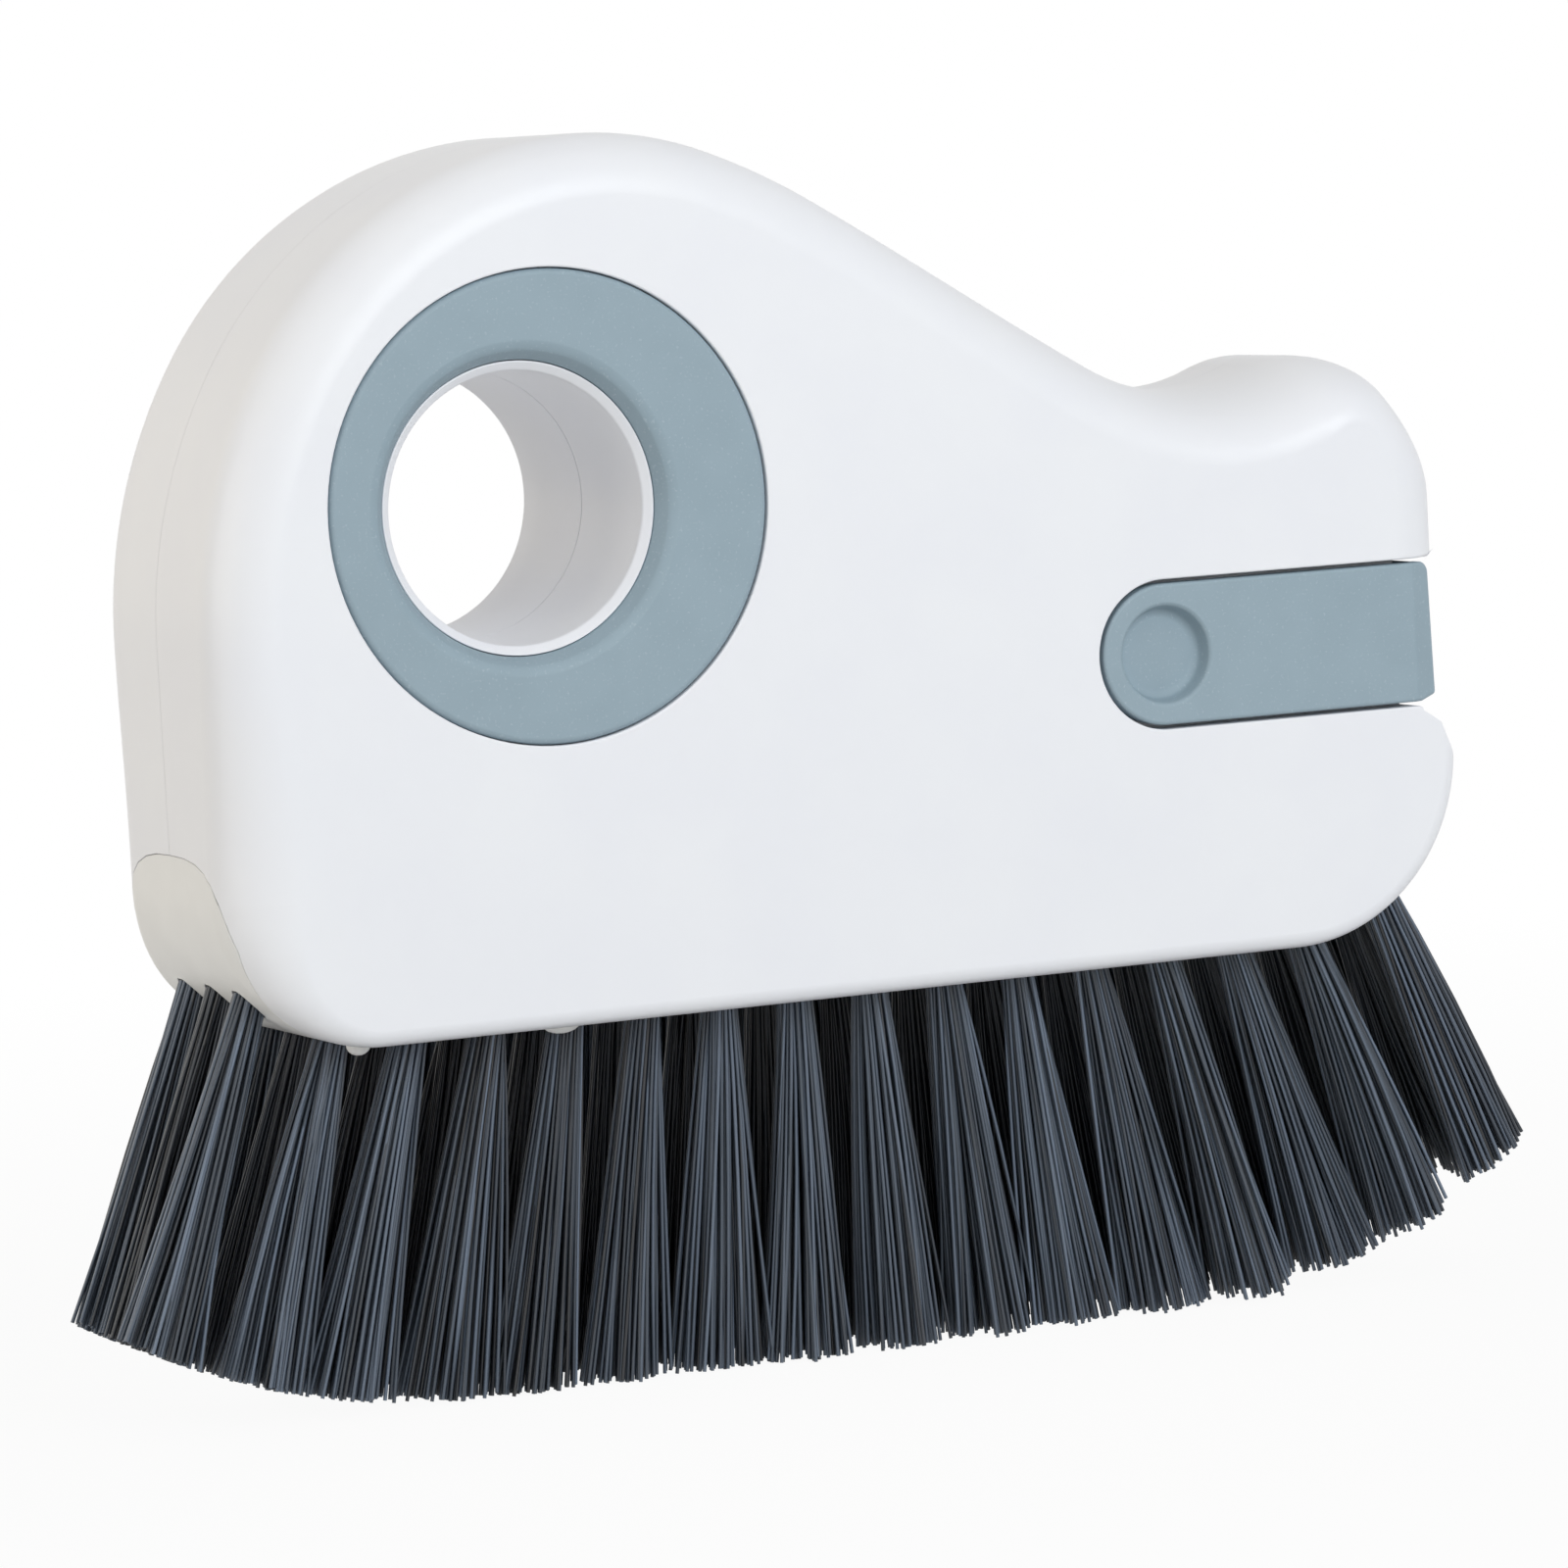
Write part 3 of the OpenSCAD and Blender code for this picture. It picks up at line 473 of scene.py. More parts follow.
channel = single("channel", rod, SLIDE_X, SLIDE_Z, CHANNEL_HALF, FACE - OUT, FACE + CHANNEL_DEPTH)
cut(channel, single("channel_run", block, SLIDE_X, NOSE_X + PAST_NOSE, FACE - OUT, FACE + CHANNEL_DEPTH,
                    SLIDE_Z - CHANNEL_HALF, SLIDE_Z + CHANNEL_HALF), "UNION")
web_half = WEB_T / 2 + SLIDE_GAP
cut(channel, single("web_slot", block, WEB_X - SLIDE_GAP, NOSE_X + PAST_NOSE, FACE, OUT,
                    SLIDE_Z - web_half, SLIDE_Z + web_half), "UNION")
print("faces of the channel cutter:", len(channel.data.polygons))

# %% [markdown]
# The nose is cut by one outline. Above the slide its edge is rounded. Below it the lip falls back,
# so that a fingertip can reach under the corner of the slide, and then runs out to the nose again
# through three shallow knees.

# %% Nose and lip
SCOOP_BACK, SCOOP_DROP, SCOOP_LIP, UPPER_LIP = 4.3, 7.4, 0.5, 2.0
KNEES = [(0.4, 5.8), (1.35, 3.9), (2.2, 1.9)]     # how far back and how far below the channel
low, high = SLIDE_Z - CHANNEL_HALF, SLIDE_Z + CHANNEL_HALF
quarter = [math.radians(9 * k) for k in range(11)]
upper_lip = [(NOSE_X - UPPER_LIP * (1 - math.sin(a)), high + UPPER_LIP * (1 - math.cos(a)))
             for a in quarter]
lower_lip = [(NOSE_X - SCOOP_BACK - SCOOP_LIP * (1 - math.sin(a)), low - SCOOP_LIP * (1 - math.cos(a)))
             for a in quarter]
nose_cut = ([(NOSE_RECESS_X, high)] + upper_lip
            + [(NOSE_X + PAST_NOSE, high + UPPER_LIP), (NOSE_X + PAST_NOSE, low - SCOOP_DROP),
               (NOSE_X, low - SCOOP_DROP)]
            + [(NOSE_X - behind, low - below) for behind, below in KNEES]
            + lower_lip[::-1] + [(NOSE_RECESS_X, low)])
cut(channel, single("nose_recess", prism, nose_cut, FACE - OUT, OUT), "UNION")
cut(front_shell, channel)
merge_close(front_shell, 0.02)
print("points of the nose cutter:", len(nose_cut))

# %% [markdown]
# Last, the edges are softened. The outer edges get a bevel of a fifth of a millimetre. The room for
# the block is cut after that, with a finer bevel, because the real parting line there is thin.


# %% Soft edges and the mirror image
def left_sharp(co):
    """The seam, and the receding lip, whose edges fade into the rounding of the body."""
    on_lip = co.x > NOSE_X - SCOOP_BACK - 1 and low - SCOOP_DROP - 0.5 < co.z < low - 0.1
    return abs(co.y) < 2 * SEAM or on_lip


soften(front_shell, 0.22, segments=3, spare=left_sharp)
cut(front_shell, block_room(BLOCK_FIT, PAST_NOSE))
merge_close(front_shell, 0.01)
soften(front_shell, 0.07, segments=1, spare=left_sharp)
even_shading(front_shell)
rear_shell = mirrored(front_shell, "rear_shell_skin")
print("faces of a shell:", len(front_shell.data.polygons))

# %% [markdown]
# ## The brush block
#
# The block carries the tufts and closes the underside. It follows the body's skin, so it is the
# same loft, intersected with the block's room. Four small latch tabs show under the rims, and
# each tuft sits in a shallow round hole.
#
# The tufts stand in even steps along the underside. They lean out like a fan, more and more from
# the middle to each end, and their tips are trimmed to a curve that is flat in the middle. A few
# small functions say where a tuft stands, how far it leans and how high it is trimmed.

# %% Stations of the tufts
TUFTS, ROW_PITCH = 16, 7.8
FIRST_X, LAST_X = HEEL_X + 4.6, NOSE_X - 6.2
FAN_MID, FAN_HALF = (FIRST_X + LAST_X) / 2, (LAST_X - FIRST_X) / 2
FAN_HEEL, FAN_TOE = 18.6, 21.6
TRIM_HEEL, TRIM_TOE, TRIM_POWER, TIP_SINK = 9.5, 13.5, 4.5, 0.5


def tuft_x(k):
    """Where tuft k stands along the body."""
    return FIRST_X + k * (LAST_X - FIRST_X) / (TUFTS - 1)


def underside_z(x):
    """Height of the skin under the body at x, along the heel corner, the belly and the toe corner."""
    heel, toe = HEEL_X + HEEL_R, NOSE_X - TOE_R
    if x < heel:
        return BELLY_Z + HEEL_R - math.sqrt(max(0, HEEL_R ** 2 - (heel - x) ** 2))
    if x > toe:
        return BELLY_Z + TOE_R - math.sqrt(max(0, TOE_R ** 2 - (x - toe) ** 2))
    return BELLY_Z


def fan_lean(x):
    """Lean of a tuft from upright, in radians, toward the nose."""
    return math.radians(FAN_HEEL if x < FAN_MID else FAN_TOE) * (x - FAN_MID) / FAN_HALF


def trim_z(x):
    """Height of the trimmed tips at x: flat in the middle and rising toward both ends."""
    fan, rise = (FAN_HEEL, TRIM_HEEL) if x < FAN_MID else (FAN_TOE, TRIM_TOE)
    reach = FAN_HALF + BELLY_Z * math.tan(math.radians(fan))
    return max(0, rise * (abs(x - FAN_MID) / reach) ** TRIM_POWER - TIP_SINK)


print("lean of the end tufts in degrees:", [round(math.degrees(fan_lean(x)), 1) for x in (FIRST_X, LAST_X)])

# %% [markdown]
# The tabs are small flattened spheres, half sunk into the block. The holes are cut in one go by a
# cutter made of 48 short rods, each tilted as its tuft leans.

# %% Brush block
HOLE_R, HOLE_DEPTH = 1.95, 1.2
TABS = [(-19.7, 1.3), (2.8, 2.1)]       # place along X from the finger hole, and half length
TAB_IN, TAB_HALF_W, TAB_HALF_H = 1.1, 0.9, 1.05
brush_block = loft("brush_block_skin", face_rings(-1)[::-1] + face_rings(1))
cut(brush_block, block_room(0, PAST_NOSE), "INTERSECT")
for offset, half_len in TABS:
    for side in (-1, 1):
        bm = bmesh.new()
        place = Matrix.Translation((BORE_X + offset, side * (BLOCK_W / 2 - TAB_IN), BELLY_Z))
        bmesh.ops.create_icosphere(bm, subdivisions=3, radius=1,
                                   matrix=place @ Matrix.Diagonal((half_len, TAB_HALF_W, TAB_HALF_H, 1)))
        cut(brush_block, to_object("tab", bm), "UNION")

drills = bmesh.new()
for k in range(TUFTS):
    x = tuft_x(k)
    root = Vector((x, 0, underside_z(x)))
    for row in (-1, 0, 1):
        place = (Matrix.Translation((root.x, row * ROW_PITCH, root.z))
                 @ Matrix.Rotation(-fan_lean(x), 4, "Y"))
        bmesh.ops.create_cone(drills, cap_ends=True, segments=32, radius1=HOLE_R, radius2=HOLE_R,
                              depth=2 * HOLE_DEPTH, matrix=place)
cut(brush_block, to_object("drills", drills))
merge_close(brush_block, 0.02)
soften(brush_block, 0.07, segments=1)
even_shading(brush_block)
print("faces of the block:", len(brush_block.data.polygons))

# %% [markdown]
# ## The grip rings
#
# Each ring is a flat washer of soft rubber pressed into its seat, flush with the face. Its hole
# is round the finger hole, and its outer circle is set a little toward the nose, so the ring is
# wider there. A lathe can't make that, but bridging five circles can: outside at the face, outside
# at the back, inside at the back, inside at the foot of the bevel, and inside at the face.

# %% Grip rings
RING_FACE_R, RING_HOLE_R = 16.4, LIP_R + RING_FIT
bm = bmesh.new()
loops = [circle_loop(bm, *values) for values in (
    (RING_X, BORE_Z, RING_R, FACE),
    (RING_X, BORE_Z, RING_R, FACE + RING_T - RING_FIT),
    (BORE_X, BORE_Z, RING_HOLE_R, FACE + RING_T - RING_FIT),
    (BORE_X, BORE_Z, RING_HOLE_R, FACE + LIP_DROP),
    (BORE_X, BORE_Z, RING_FACE_R, FACE),
)]
for k in range(len(loops)):
    bridge(bm, loops[k], loops[(k + 1) % len(loops)])
bmesh.ops.bevel(bm, geom=loops[0], offset=0.7, segments=5, affect="EDGES", profile=0.5, material=-1)
bmesh.ops.bevel(bm, geom=[e for e in loops[4] if e.is_valid], offset=0.8, segments=5,
                affect="EDGES", profile=0.5, material=-1)
front_ring = to_object("front_ring_rubber", bm)
soften(front_ring, 0.12, angle=60)
even_shading(front_ring)
rear_ring = mirrored(front_ring, "rear_ring_rubber")
print("faces of a ring:", len(front_ring.data.polygons))

# %% [markdown]
# ## The scraper slide
#
# The scraper has a stiff core and a soft cover. The cover is one piece: a cheek on each face,
# joined round the nose. It is extruded from its outline, cut so that both cheeks thin toward the
# end, and hollowed in the middle where the core goes. A thumb recess is pressed into each cheek.

# %% Slide cover
SLIDE_CORNER, BLADE_LEAN = 1.3, 0.7
BEVEL_LEN, BEVEL_IN, BEVEL_EASE = 3.4, 1.7, 0.25
LOWER_CORNER = [(0.3, 0.6), (2.6, 0)]   # how far back from the end and how far up from the lower edge
WELL_OUT = 10                           # how far the cutters reach past the slide
bm = bmesh.new()
arc = [(SLIDE_X - SLIDE_HALF * math.sin(a), SLIDE_Z - SLIDE_HALF * math.cos(a))
       for a in (math.pi * k / 64 for k in range(65))]
corner = [(SLIDE_END - BLADE_LEAN - SLIDE_CORNER * (1 - math.sin(a)),
           SLIDE_Z + SLIDE_HALF - SLIDE_CORNER * (1 - math.cos(a)))
          for a in (math.pi / 2 * k / 8 for k in range(9))]
lower_corner = [(SLIDE_END - behind, SLIDE_Z - SLIDE_HALF + above) for behind, above in LOWER_CORNER]
prism(bm, arc + corner + lower_corner, FACE, -FACE)
slide_cover = to_object("slide_cover_rubber", bm)

# The plan from above: each cheek thins toward the end, and a narrow strip eases the start of the bevel.
half_plan = [(SLIDE_X - WELL_OUT, FACE), (SLIDE_END - BEVEL_LEN - BEVEL_EASE, FACE),
             (SLIDE_END - BEVEL_LEN + BEVEL_EASE, FACE + BEVEL_EASE * BEVEL_IN / BEVEL_LEN),
             (SLIDE_END, FACE + BEVEL_IN)]
bm = bmesh.new()
prism(bm, half_plan + [(x, -y) for x, y in half_plan[::-1]], -WELL_OUT, WELL_OUT)
bmesh.ops.rotate(bm, verts=bm.verts, cent=(0, 0, 0), matrix=Matrix.Rotation(math.pi / 2, 3, "X"))
bmesh.ops.translate(bm, verts=bm.verts, vec=(0, 0, SLIDE_Z))
cut(slide_cover, to_object("end_plan", bm), "INTERSECT")
cut(slide_cover, single("core_room", block, SLIDE_X - WELL_OUT, COVER_IN_X,
                        FACE + CHEEK_T, -FACE - CHEEK_T, SLIDE_Z - WELL_OUT, SLIDE_Z + WELL_OUT))
print("faces of the cover before its recess:", len(slide_cover.data.polygons))

# %% [markdown]
# The thumb recess is a shallow dish with a rounded rim and a flat floor. A plain cylinder would cut
# it with two hard edges. A stack of circles that follows the dish's profile, bridged one to the
# next, gives the cutter its soft rim and foot. The last bevel then rounds the cover's own edges.


# %% Thumb recess and soft edges
def thumb_recess(bm, side):
    """A cutter as a stack of circles, each a radius and a depth below the face."""
    profile = [(5.7, -0.6), (5.7, -0.02), (5.45, 0.03), (5.27, 0.13), (5.14, 0.32), (5.05, 0.65),
               (4.94, 1.15), (4.8, 1.55), (4.56, 1.82), (4.2, 1.96), (3.85, 2.0)]
    rings = [circle_loop(bm, SLIDE_X, SLIDE_Z, r, side * (HALF_T - d), 96) for r, d in profile]
    for ring_a, ring_b in zip(rings, rings[1:]):
        bridge(bm, ring_a, ring_b)
    for ring in (rings[0], rings[-1]):
        bmesh.ops.contextual_create(bm, geom=ring)


for side in (-1, 1):
    cut(slide_cover, single("thumb_recess", thumb_recess, side))
merge_close(slide_cover, 0.01)
soften(slide_cover, 0.4, segments=4, angle=55)
even_shading(slide_cover)
print("faces of the cover:", len(slide_cover.data.polygons))

# %% [markdown]
# The core is a web that crosses the body, a guide flange on it that runs inside the shells, and
# a plate behind the end of the cover. It shows when the scraper is out. Three boxes joined into
# one solid are enough for it, with their edges softened together after the join.

# %% Slide carrier
WALL, TRAVEL, FLANGE_HALF = 2.2, 20, 5.5
STOP_X = NOSE_RECESS_X - WALL
FLANGE_LEN = STOP_X - SLIDE_GAP - TRAVEL - WEB_X
FLANGE_Y = HALF_T - CHANNEL_DEPTH - WALL - SLIDE_GAP
web_y, plate_half = HALF_T - CHEEK_T, SLIDE_HALF - 0.5
slide_carrier = single("slide_carrier_core", block, WEB_X, COVER_IN_X, -web_y, web_y,
                       SLIDE_Z - WEB_T / 2, SLIDE_Z + WEB_T / 2)
cut(slide_carrier, single("flange", block, WEB_X, WEB_X + FLANGE_LEN, -FLANGE_Y, FLANGE_Y,
                          SLIDE_Z - FLANGE_HALF, SLIDE_Z + FLANGE_HALF), "UNION")
cut(slide_carrier, single("end_plate", block, COVER_IN_X - CORE_T, COVER_IN_X, -web_y, web_y,
                          SLIDE_Z - plate_half, SLIDE_Z + plate_half), "UNION")
soften(slide_carrier, 0.25, segments=3)
even_shading(slide_carrier)
print("faces of the carrier:", len(slide_carrier.data.polygons))

# %% [markdown]
# ## The tufts
#
# A tuft is a bundle of stiff nylon filaments, folded over a flat wire and driven into a hole.
# Outside the hole it opens like a fan, the filaments stick together in small bundles with dark
# gaps between them, and a few stray ones cross over. After filling, the brush is trimmed on a
# cutter to a shallow curve, and the ends stay slightly ragged.
#
# Thousands of filaments could be a particle hair system, but such hair isn't a mesh and is lost
# on export. Each one is a short spline in a curve object instead, and the curve's round bevel
# gives it thickness. Turned into a mesh, every filament has the same number of vertices, so each
# gets its own value in a mesh attribute, which the material reads: a random tone, drawn darker
# in the middle row as painted shade.

# %% Filaments
FILAMENTS, FILAMENT_R, POINTS = 100, 0.2, 5
ROOT_R, OPEN_ALONG, OPEN_ACROSS = 1.65, math.radians(4.6), math.radians(2.6)
BUNDLES, ROOT_SINK = 7, 1.0
EDGE = 0.4                  # how far the outermost tips stay inside the CAD box
X_LOW, X_HIGH = cad_box[0][0] / MM + EDGE, cad_box[1][0] / MM - EDGE


def filament(spline_data, root, direction, bend, end_z):
    """Adds one filament as a spline from its root to the height end_z."""
    length = (root.z - end_z) / -direction.z
    spline = spline_data.splines.new("POLY")
    spline.points.add(POINTS - 1)
    for i, p in enumerate(spline.points):
        t = i / (POINTS - 1)
        p.co = (*(root + direction * length * t + bend * (t * t - t)), 1)


def tip_of(root, direction):
    """Where a straight filament meets the trimmed surface."""
    tip_x = root.x
    for _ in range(4):
        tip_x = root.x + direction.x / -direction.z * (root.z - trim_z(tip_x))
    return tip_x


print("filaments in all:", 3 * TUFTS * FILAMENTS)

# %% [markdown]
# Each filament belongs to the nearest of seven bundles, which share a lean, a bow and a tone, and
# has a little of its own on top. One seeded source gives all random numbers, so each run draws the
# same tufts.

# %% A tuft
GOLDEN_ANGLE = 2.39996      # radians between the seeds of a sunflower
SWAY_ALONG, SWAY_ACROSS = 0.010, 0.008              # radians by which a whole tuft is off
BUNDLE_LEAN, BUNDLE_BOW = 0.016, 0.8                # radians and millimetres by which bundles differ
OWN_LEAN, BOW_ALONG, BOW_ACROSS = 0.011, 0.5, 0.6   # and the filaments of one bundle
STRAY_SHARE, STRAY_LEAN = 0.05, 2.4                 # few filaments cross over
EDGE_RAGGED, END_RAGGED = 0.35, 0.26                # millimetres by which tips differ
BUNDLE_TONE, OWN_TONE, TONE_NOISE = 0.65, 0.35, 0.08
MIDDLE_SHADE = 0.25         # painted shade: the middle row is coloured darker, as it stands in the shade of its neighbours
dice = random.Random(11)


def tuft(spline_data, k, row, tones):
    """Adds the filaments of tuft k in one row, and a tone for each."""
    x = tuft_x(k)
    lean = fan_lean(x)
    down = Vector((math.sin(lean), 0, -math.cos(lean)))
    along = Vector((math.cos(lean), 0, math.sin(lean)))
    across = Vector((0, 1, 0))
    centre = Vector((x, row * ROW_PITCH, underside_z(x))) - down * ROOT_SINK
    sway = (dice.gauss(0, SWAY_ALONG), dice.gauss(0, SWAY_ACROSS))
    bundles = [(dice.uniform(0, 2 * math.pi), dice.gauss(0, BUNDLE_LEAN), dice.gauss(0, BUNDLE_LEAN),
                dice.gauss(0, BUNDLE_BOW), dice.random()) for _ in range(BUNDLES)]
    for i in range(FILAMENTS):
        # A sunflower pattern spreads the roots evenly over the round hole.
        radius = ROOT_R * math.sqrt((i + 0.5) / FILAMENTS)
        angle = GOLDEN_ANGLE * i + dice.gauss(0, 0.1)
        u, v = radius * math.cos(angle), radius * math.sin(angle)
        _, lean_a, lean_b, bow, bundle_tone = min(
            bundles, key=lambda b: abs(math.remainder(angle - b[0], 2 * math.pi)))
        stray = STRAY_LEAN if dice.random() < STRAY_SHARE else 1.0
        a = OPEN_ALONG * u / ROOT_R + sway[0] + lean_a + stray * dice.gauss(0, OWN_LEAN)
        b = OPEN_ACROSS * v / ROOT_R + sway[1] + lean_b + stray * dice.gauss(0, OWN_LEAN)
        direction = (down + along * math.tan(a) + across * math.tan(b)).normalized()
        root = centre + along * u + across * v
        bend = along * (bow + dice.gauss(0, BOW_ALONG)) + across * dice.gauss(0, BOW_ACROSS)
        tip_x = tip_of(root, direction)
        if not X_LOW < tip_x < X_HIGH:
            # The outermost filaments lie against each other in one straight edge.
            tip_x = min(max(tip_x, X_LOW), X_HIGH) - math.copysign(abs(dice.gauss(0, EDGE_RAGGED)), tip_x)
            direction.x = (tip_x - root.x) / (root.z - trim_z(tip_x)) * -direction.z
            bend = Vector((0, 0, 0))
        end_z = trim_z(tip_x) + FILAMENT_R * 0.5 + abs(dice.gauss(0, END_RAGGED))
        filament(spline_data, root, direction, bend, end_z)
        # Painted shade: the filaments of the middle row are drawn darker in colour.
        shade = MIDDLE_SHADE if row == 0 else 1.0
        tone = BUNDLE_TONE * bundle_tone + OWN_TONE * dice.random() + dice.gauss(0, TONE_NOISE)
        tones.append(shade * min(max(tone, 0), 1))


# %% [markdown]
# A row is one curve object with 1600 splines. Its round bevel has few sides, because a filament is
# less than two pixels wide. The tones go into the mesh as an attribute of its points.


# %% Tuft rows
def tuft_row(name, row):
    """One row of filaments as a mesh."""
    spline_data = bpy.data.curves.new(name, "CURVE")
    spline_data.dimensions = "3D"
    spline_data.bevel_depth = FILAMENT_R
    spline_data.bevel_resolution = 1
    spline_data.use_fill_caps = True
    tones = []
    for k in range(TUFTS):
        tuft(spline_data, k, row, tones)
    holder = bpy.data.objects.new(name + "_splines", spline_data)
    bpy.context.scene.collection.objects.link(holder)
    mesh = bpy.data.meshes.new_from_object(holder.evaluated_get(bpy.context.evaluated_depsgraph_get()))
    bpy.data.objects.remove(holder)
    obj = bpy.data.objects.new(name, mesh)
    bpy.context.scene.collection.objects.link(obj)
    each = len(mesh.vertices) // len(tones)
    tone = mesh.attributes.new("tone", "FLOAT", "POINT")
    tone.data.foreach_set("value", [value for value in tones for _ in range(each)])
    for face in mesh.polygons:
        face.use_smooth = True
    print(name, "vertices per filament:", each, "faces:", len(mesh.polygons))
    return obj


ROWS = (("front_filaments", -1), ("middle_filaments", 0), ("rear_filaments", 1))
tuft_rows = [tuft_row(name, row) for name, row in ROWS]

# %% [markdown]
# ## From millimetres to metres, and onto the bodies
#
# All pieces are finished, so their meshes are scaled to metres in one place. Then each piece
# takes the place of its CAD node and rides on the node's body. Only the wire anchors stay as CAD
# nodes: they are hidden in the block, and their shape is already right.

# %% Riding on the bodies
PIECES = [
    (front_shell, "front_shell", "brush_body", "white_plastic"),
    (rear_shell, "rear_shell", "brush_body", "white_plastic"),
    (brush_block, "brush_block", "brush_body", "block_plastic"),
    (front_ring, "front_grip_ring", "brush_body", "soft_grip"),
    (rear_ring, "rear_grip_ring", "brush_body", "soft_grip"),
    (slide_cover, "slide_cover", "scraper", "soft_grip"),
    (slide_carrier, "slide_carrier", "scraper", "carrier_plastic"),
    (tuft_rows[0], "front_tuft_row", "brush_body", "bristle"),
    (tuft_rows[1], "middle_tuft_row", "brush_body", "bristle"),
    (tuft_rows[2], "rear_tuft_row", "brush_body", "bristle"),
]
for piece, node, body, slot in PIECES:
    reach = max(abs(v.co.y) for v in piece.data.vertices)
    print(node, "faces:", len(piece.data.polygons), "half width in mm:", round(reach, 2))
    piece.data.transform(Matrix.Scale(MM, 4))
    piece.data.update()
    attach(piece, body)
    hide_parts(node)

# %% [markdown]
# ## Materials
#
# One function turns a written sRGB colour into the linear numbers that shaders use, and one adds
# a node with its settings and its links. Patterns read Object coordinates, which are metres here,
# so a noise scale of 1000 gives one blotch for each millimetre.

# %% Material helpers
def linear(hex_colour):
    """An sRGB hex colour as linear RGBA."""
    parts = [int(hex_colour[i:i + 2], 16) / 255 for i in (1, 3, 5)]
    return [p / 12.92 if p <= 0.04045 else ((p + 0.055) / 1.055) ** 2.4 for p in parts] + [1.0]


def add(tree, kind, settings=None, **links):
    """Adds a node. Settings are its properties or socket values; links join its inputs to outputs."""
    node = tree.nodes.new(kind)
    for key, value in (settings or {}).items():
        if hasattr(node, key):
            setattr(node, key, value)
        else:
            node.inputs[key].default_value = value
    for key, output in links.items():
        tree.links.new(node.inputs[key.replace("_", " ")], output)
    return node


def new_material(name):
    """A material with a shader, and the Object coordinates that its patterns read."""
    material = bpy.data.materials.new(name)
    material.use_nodes = True
    tree = material.node_tree
    tree.nodes.clear()
    shader = add(tree, "ShaderNodeBsdfPrincipled")
    add(tree, "ShaderNodeOutputMaterial", Surface=shader.outputs["BSDF"])
    place = add(tree, "ShaderNodeTexCoord").outputs["Object"]
    return material, tree, shader, place


def grained(name, dark, light, blotch_mm, grain_mm, roughness, swing, bump, ior=1.49):
    """A plastic whose colour drifts between two tones and whose surface has a fine moulded grain."""
    material, tree, shader, place = new_material(name)
    drift = add(tree, "ShaderNodeTexNoise", {"Scale": 1 / (blotch_mm * MM), "Detail": 3.0}, Vector=place)
    tone = add(tree, "ShaderNodeValToRGB", Fac=drift.outputs["Fac"])
    tone.color_ramp.elements[0].position, tone.color_ramp.elements[0].color = 0.35, linear(dark)
    tone.color_ramp.elements[1].position, tone.color_ramp.elements[1].color = 0.65, linear(light)
    tree.links.new(shader.inputs["Base Color"], tone.outputs["Color"])
    grain = add(tree, "ShaderNodeTexNoise", {"Scale": 1 / (grain_mm * MM), "Detail": 2.0}, Vector=place)
    sheen = add(tree, "ShaderNodeMapRange", {"To Min": roughness - swing, "To Max": roughness + swing},
                Value=grain.outputs["Fac"])
    tree.links.new(shader.inputs["Roughness"], sheen.outputs["Result"])
    relief = add(tree, "ShaderNodeBump", {"Strength": 1.0, "Distance": bump * MM},
                 Height=grain.outputs["Fac"])
    tree.links.new(shader.inputs["Normal"], relief.outputs["Normal"])
    shader.inputs["IOR"].default_value = ior
    return material, tree, shader, place, tone


# %% [markdown]
# White injection-moulded polypropylene: slightly milky, with a soft gloss that is a little uneven
# because the melt cooled against a polished steel mould. The real grain is a few hundredths of a
# millimetre, too fine to show, so it is drawn at half a millimetre and kept very shallow.

# %% White polypropylene
white_polypropylene = grained("moulded_white_polypropylene", "#EEEFF4", "#F0F1F5", blotch_mm=14,
                              grain_mm=0.5, roughness=0.4, swing=0.03, bump=0.0015)[0]

# %% [markdown]
# The brush block is the same plastic from a rougher mould, a touch greyer and more matte.

# %% Block polypropylene
block_polypropylene = grained("moulded_matte_polypropylene", "#EAEAE9", "#EEEEED", blotch_mm=9,
                              grain_mm=0.4, roughness=0.5, swing=0.05, bump=0.004)[0]

# %% [markdown]
# The rings and the cover are moulded thermoplastic rubber. Its surface is matte from a spark-eroded
# mould, and pale specks of filler show in the blue-grey. The specks are about a fifth of a
# millimetre, drawn a little coarser. They come from a second noise that is cut off high, so only
# its peaks show, and are mixed over the base colour.

# %% Rubber
soft_rubber, tree, shader, place, tone = grained(
    "moulded_thermoplastic_rubber", "#92A5B0", "#95A8B3", blotch_mm=5, grain_mm=0.25,
    roughness=0.62, swing=0.06, bump=0.008, ior=1.5)
SPECK_MM = 0.34
specks = add(tree, "ShaderNodeTexNoise", {"Scale": 1 / (SPECK_MM * MM), "Detail": 1.0}, Vector=place)
cutoff = add(tree, "ShaderNodeMapRange", {"From Min": 0.62, "From Max": 0.76, "To Max": 0.35},
             Value=specks.outputs["Fac"])
# The colour sockets of a Mix node are its inputs 6 and 7 and its output 2.
mixed = add(tree, "ShaderNodeMix", {"data_type": "RGBA"})
tree.links.new(mixed.inputs["Factor"], cutoff.outputs["Result"])
tree.links.new(mixed.inputs[6], tone.outputs["Color"])
mixed.inputs[7].default_value = linear("#B9C7CF")
tree.links.new(shader.inputs["Base Color"], mixed.outputs[2])

# %% [markdown]
# The core of the scraper is grey injection-moulded nylon, plain and matte.

# %% Nylon core
core_nylon = grained("moulded_grey_nylon", "#6E757B", "#7B8288", blotch_mm=4, grain_mm=0.3,
                     roughness=0.48, swing=0.06, bump=0.004, ior=1.53)[0]
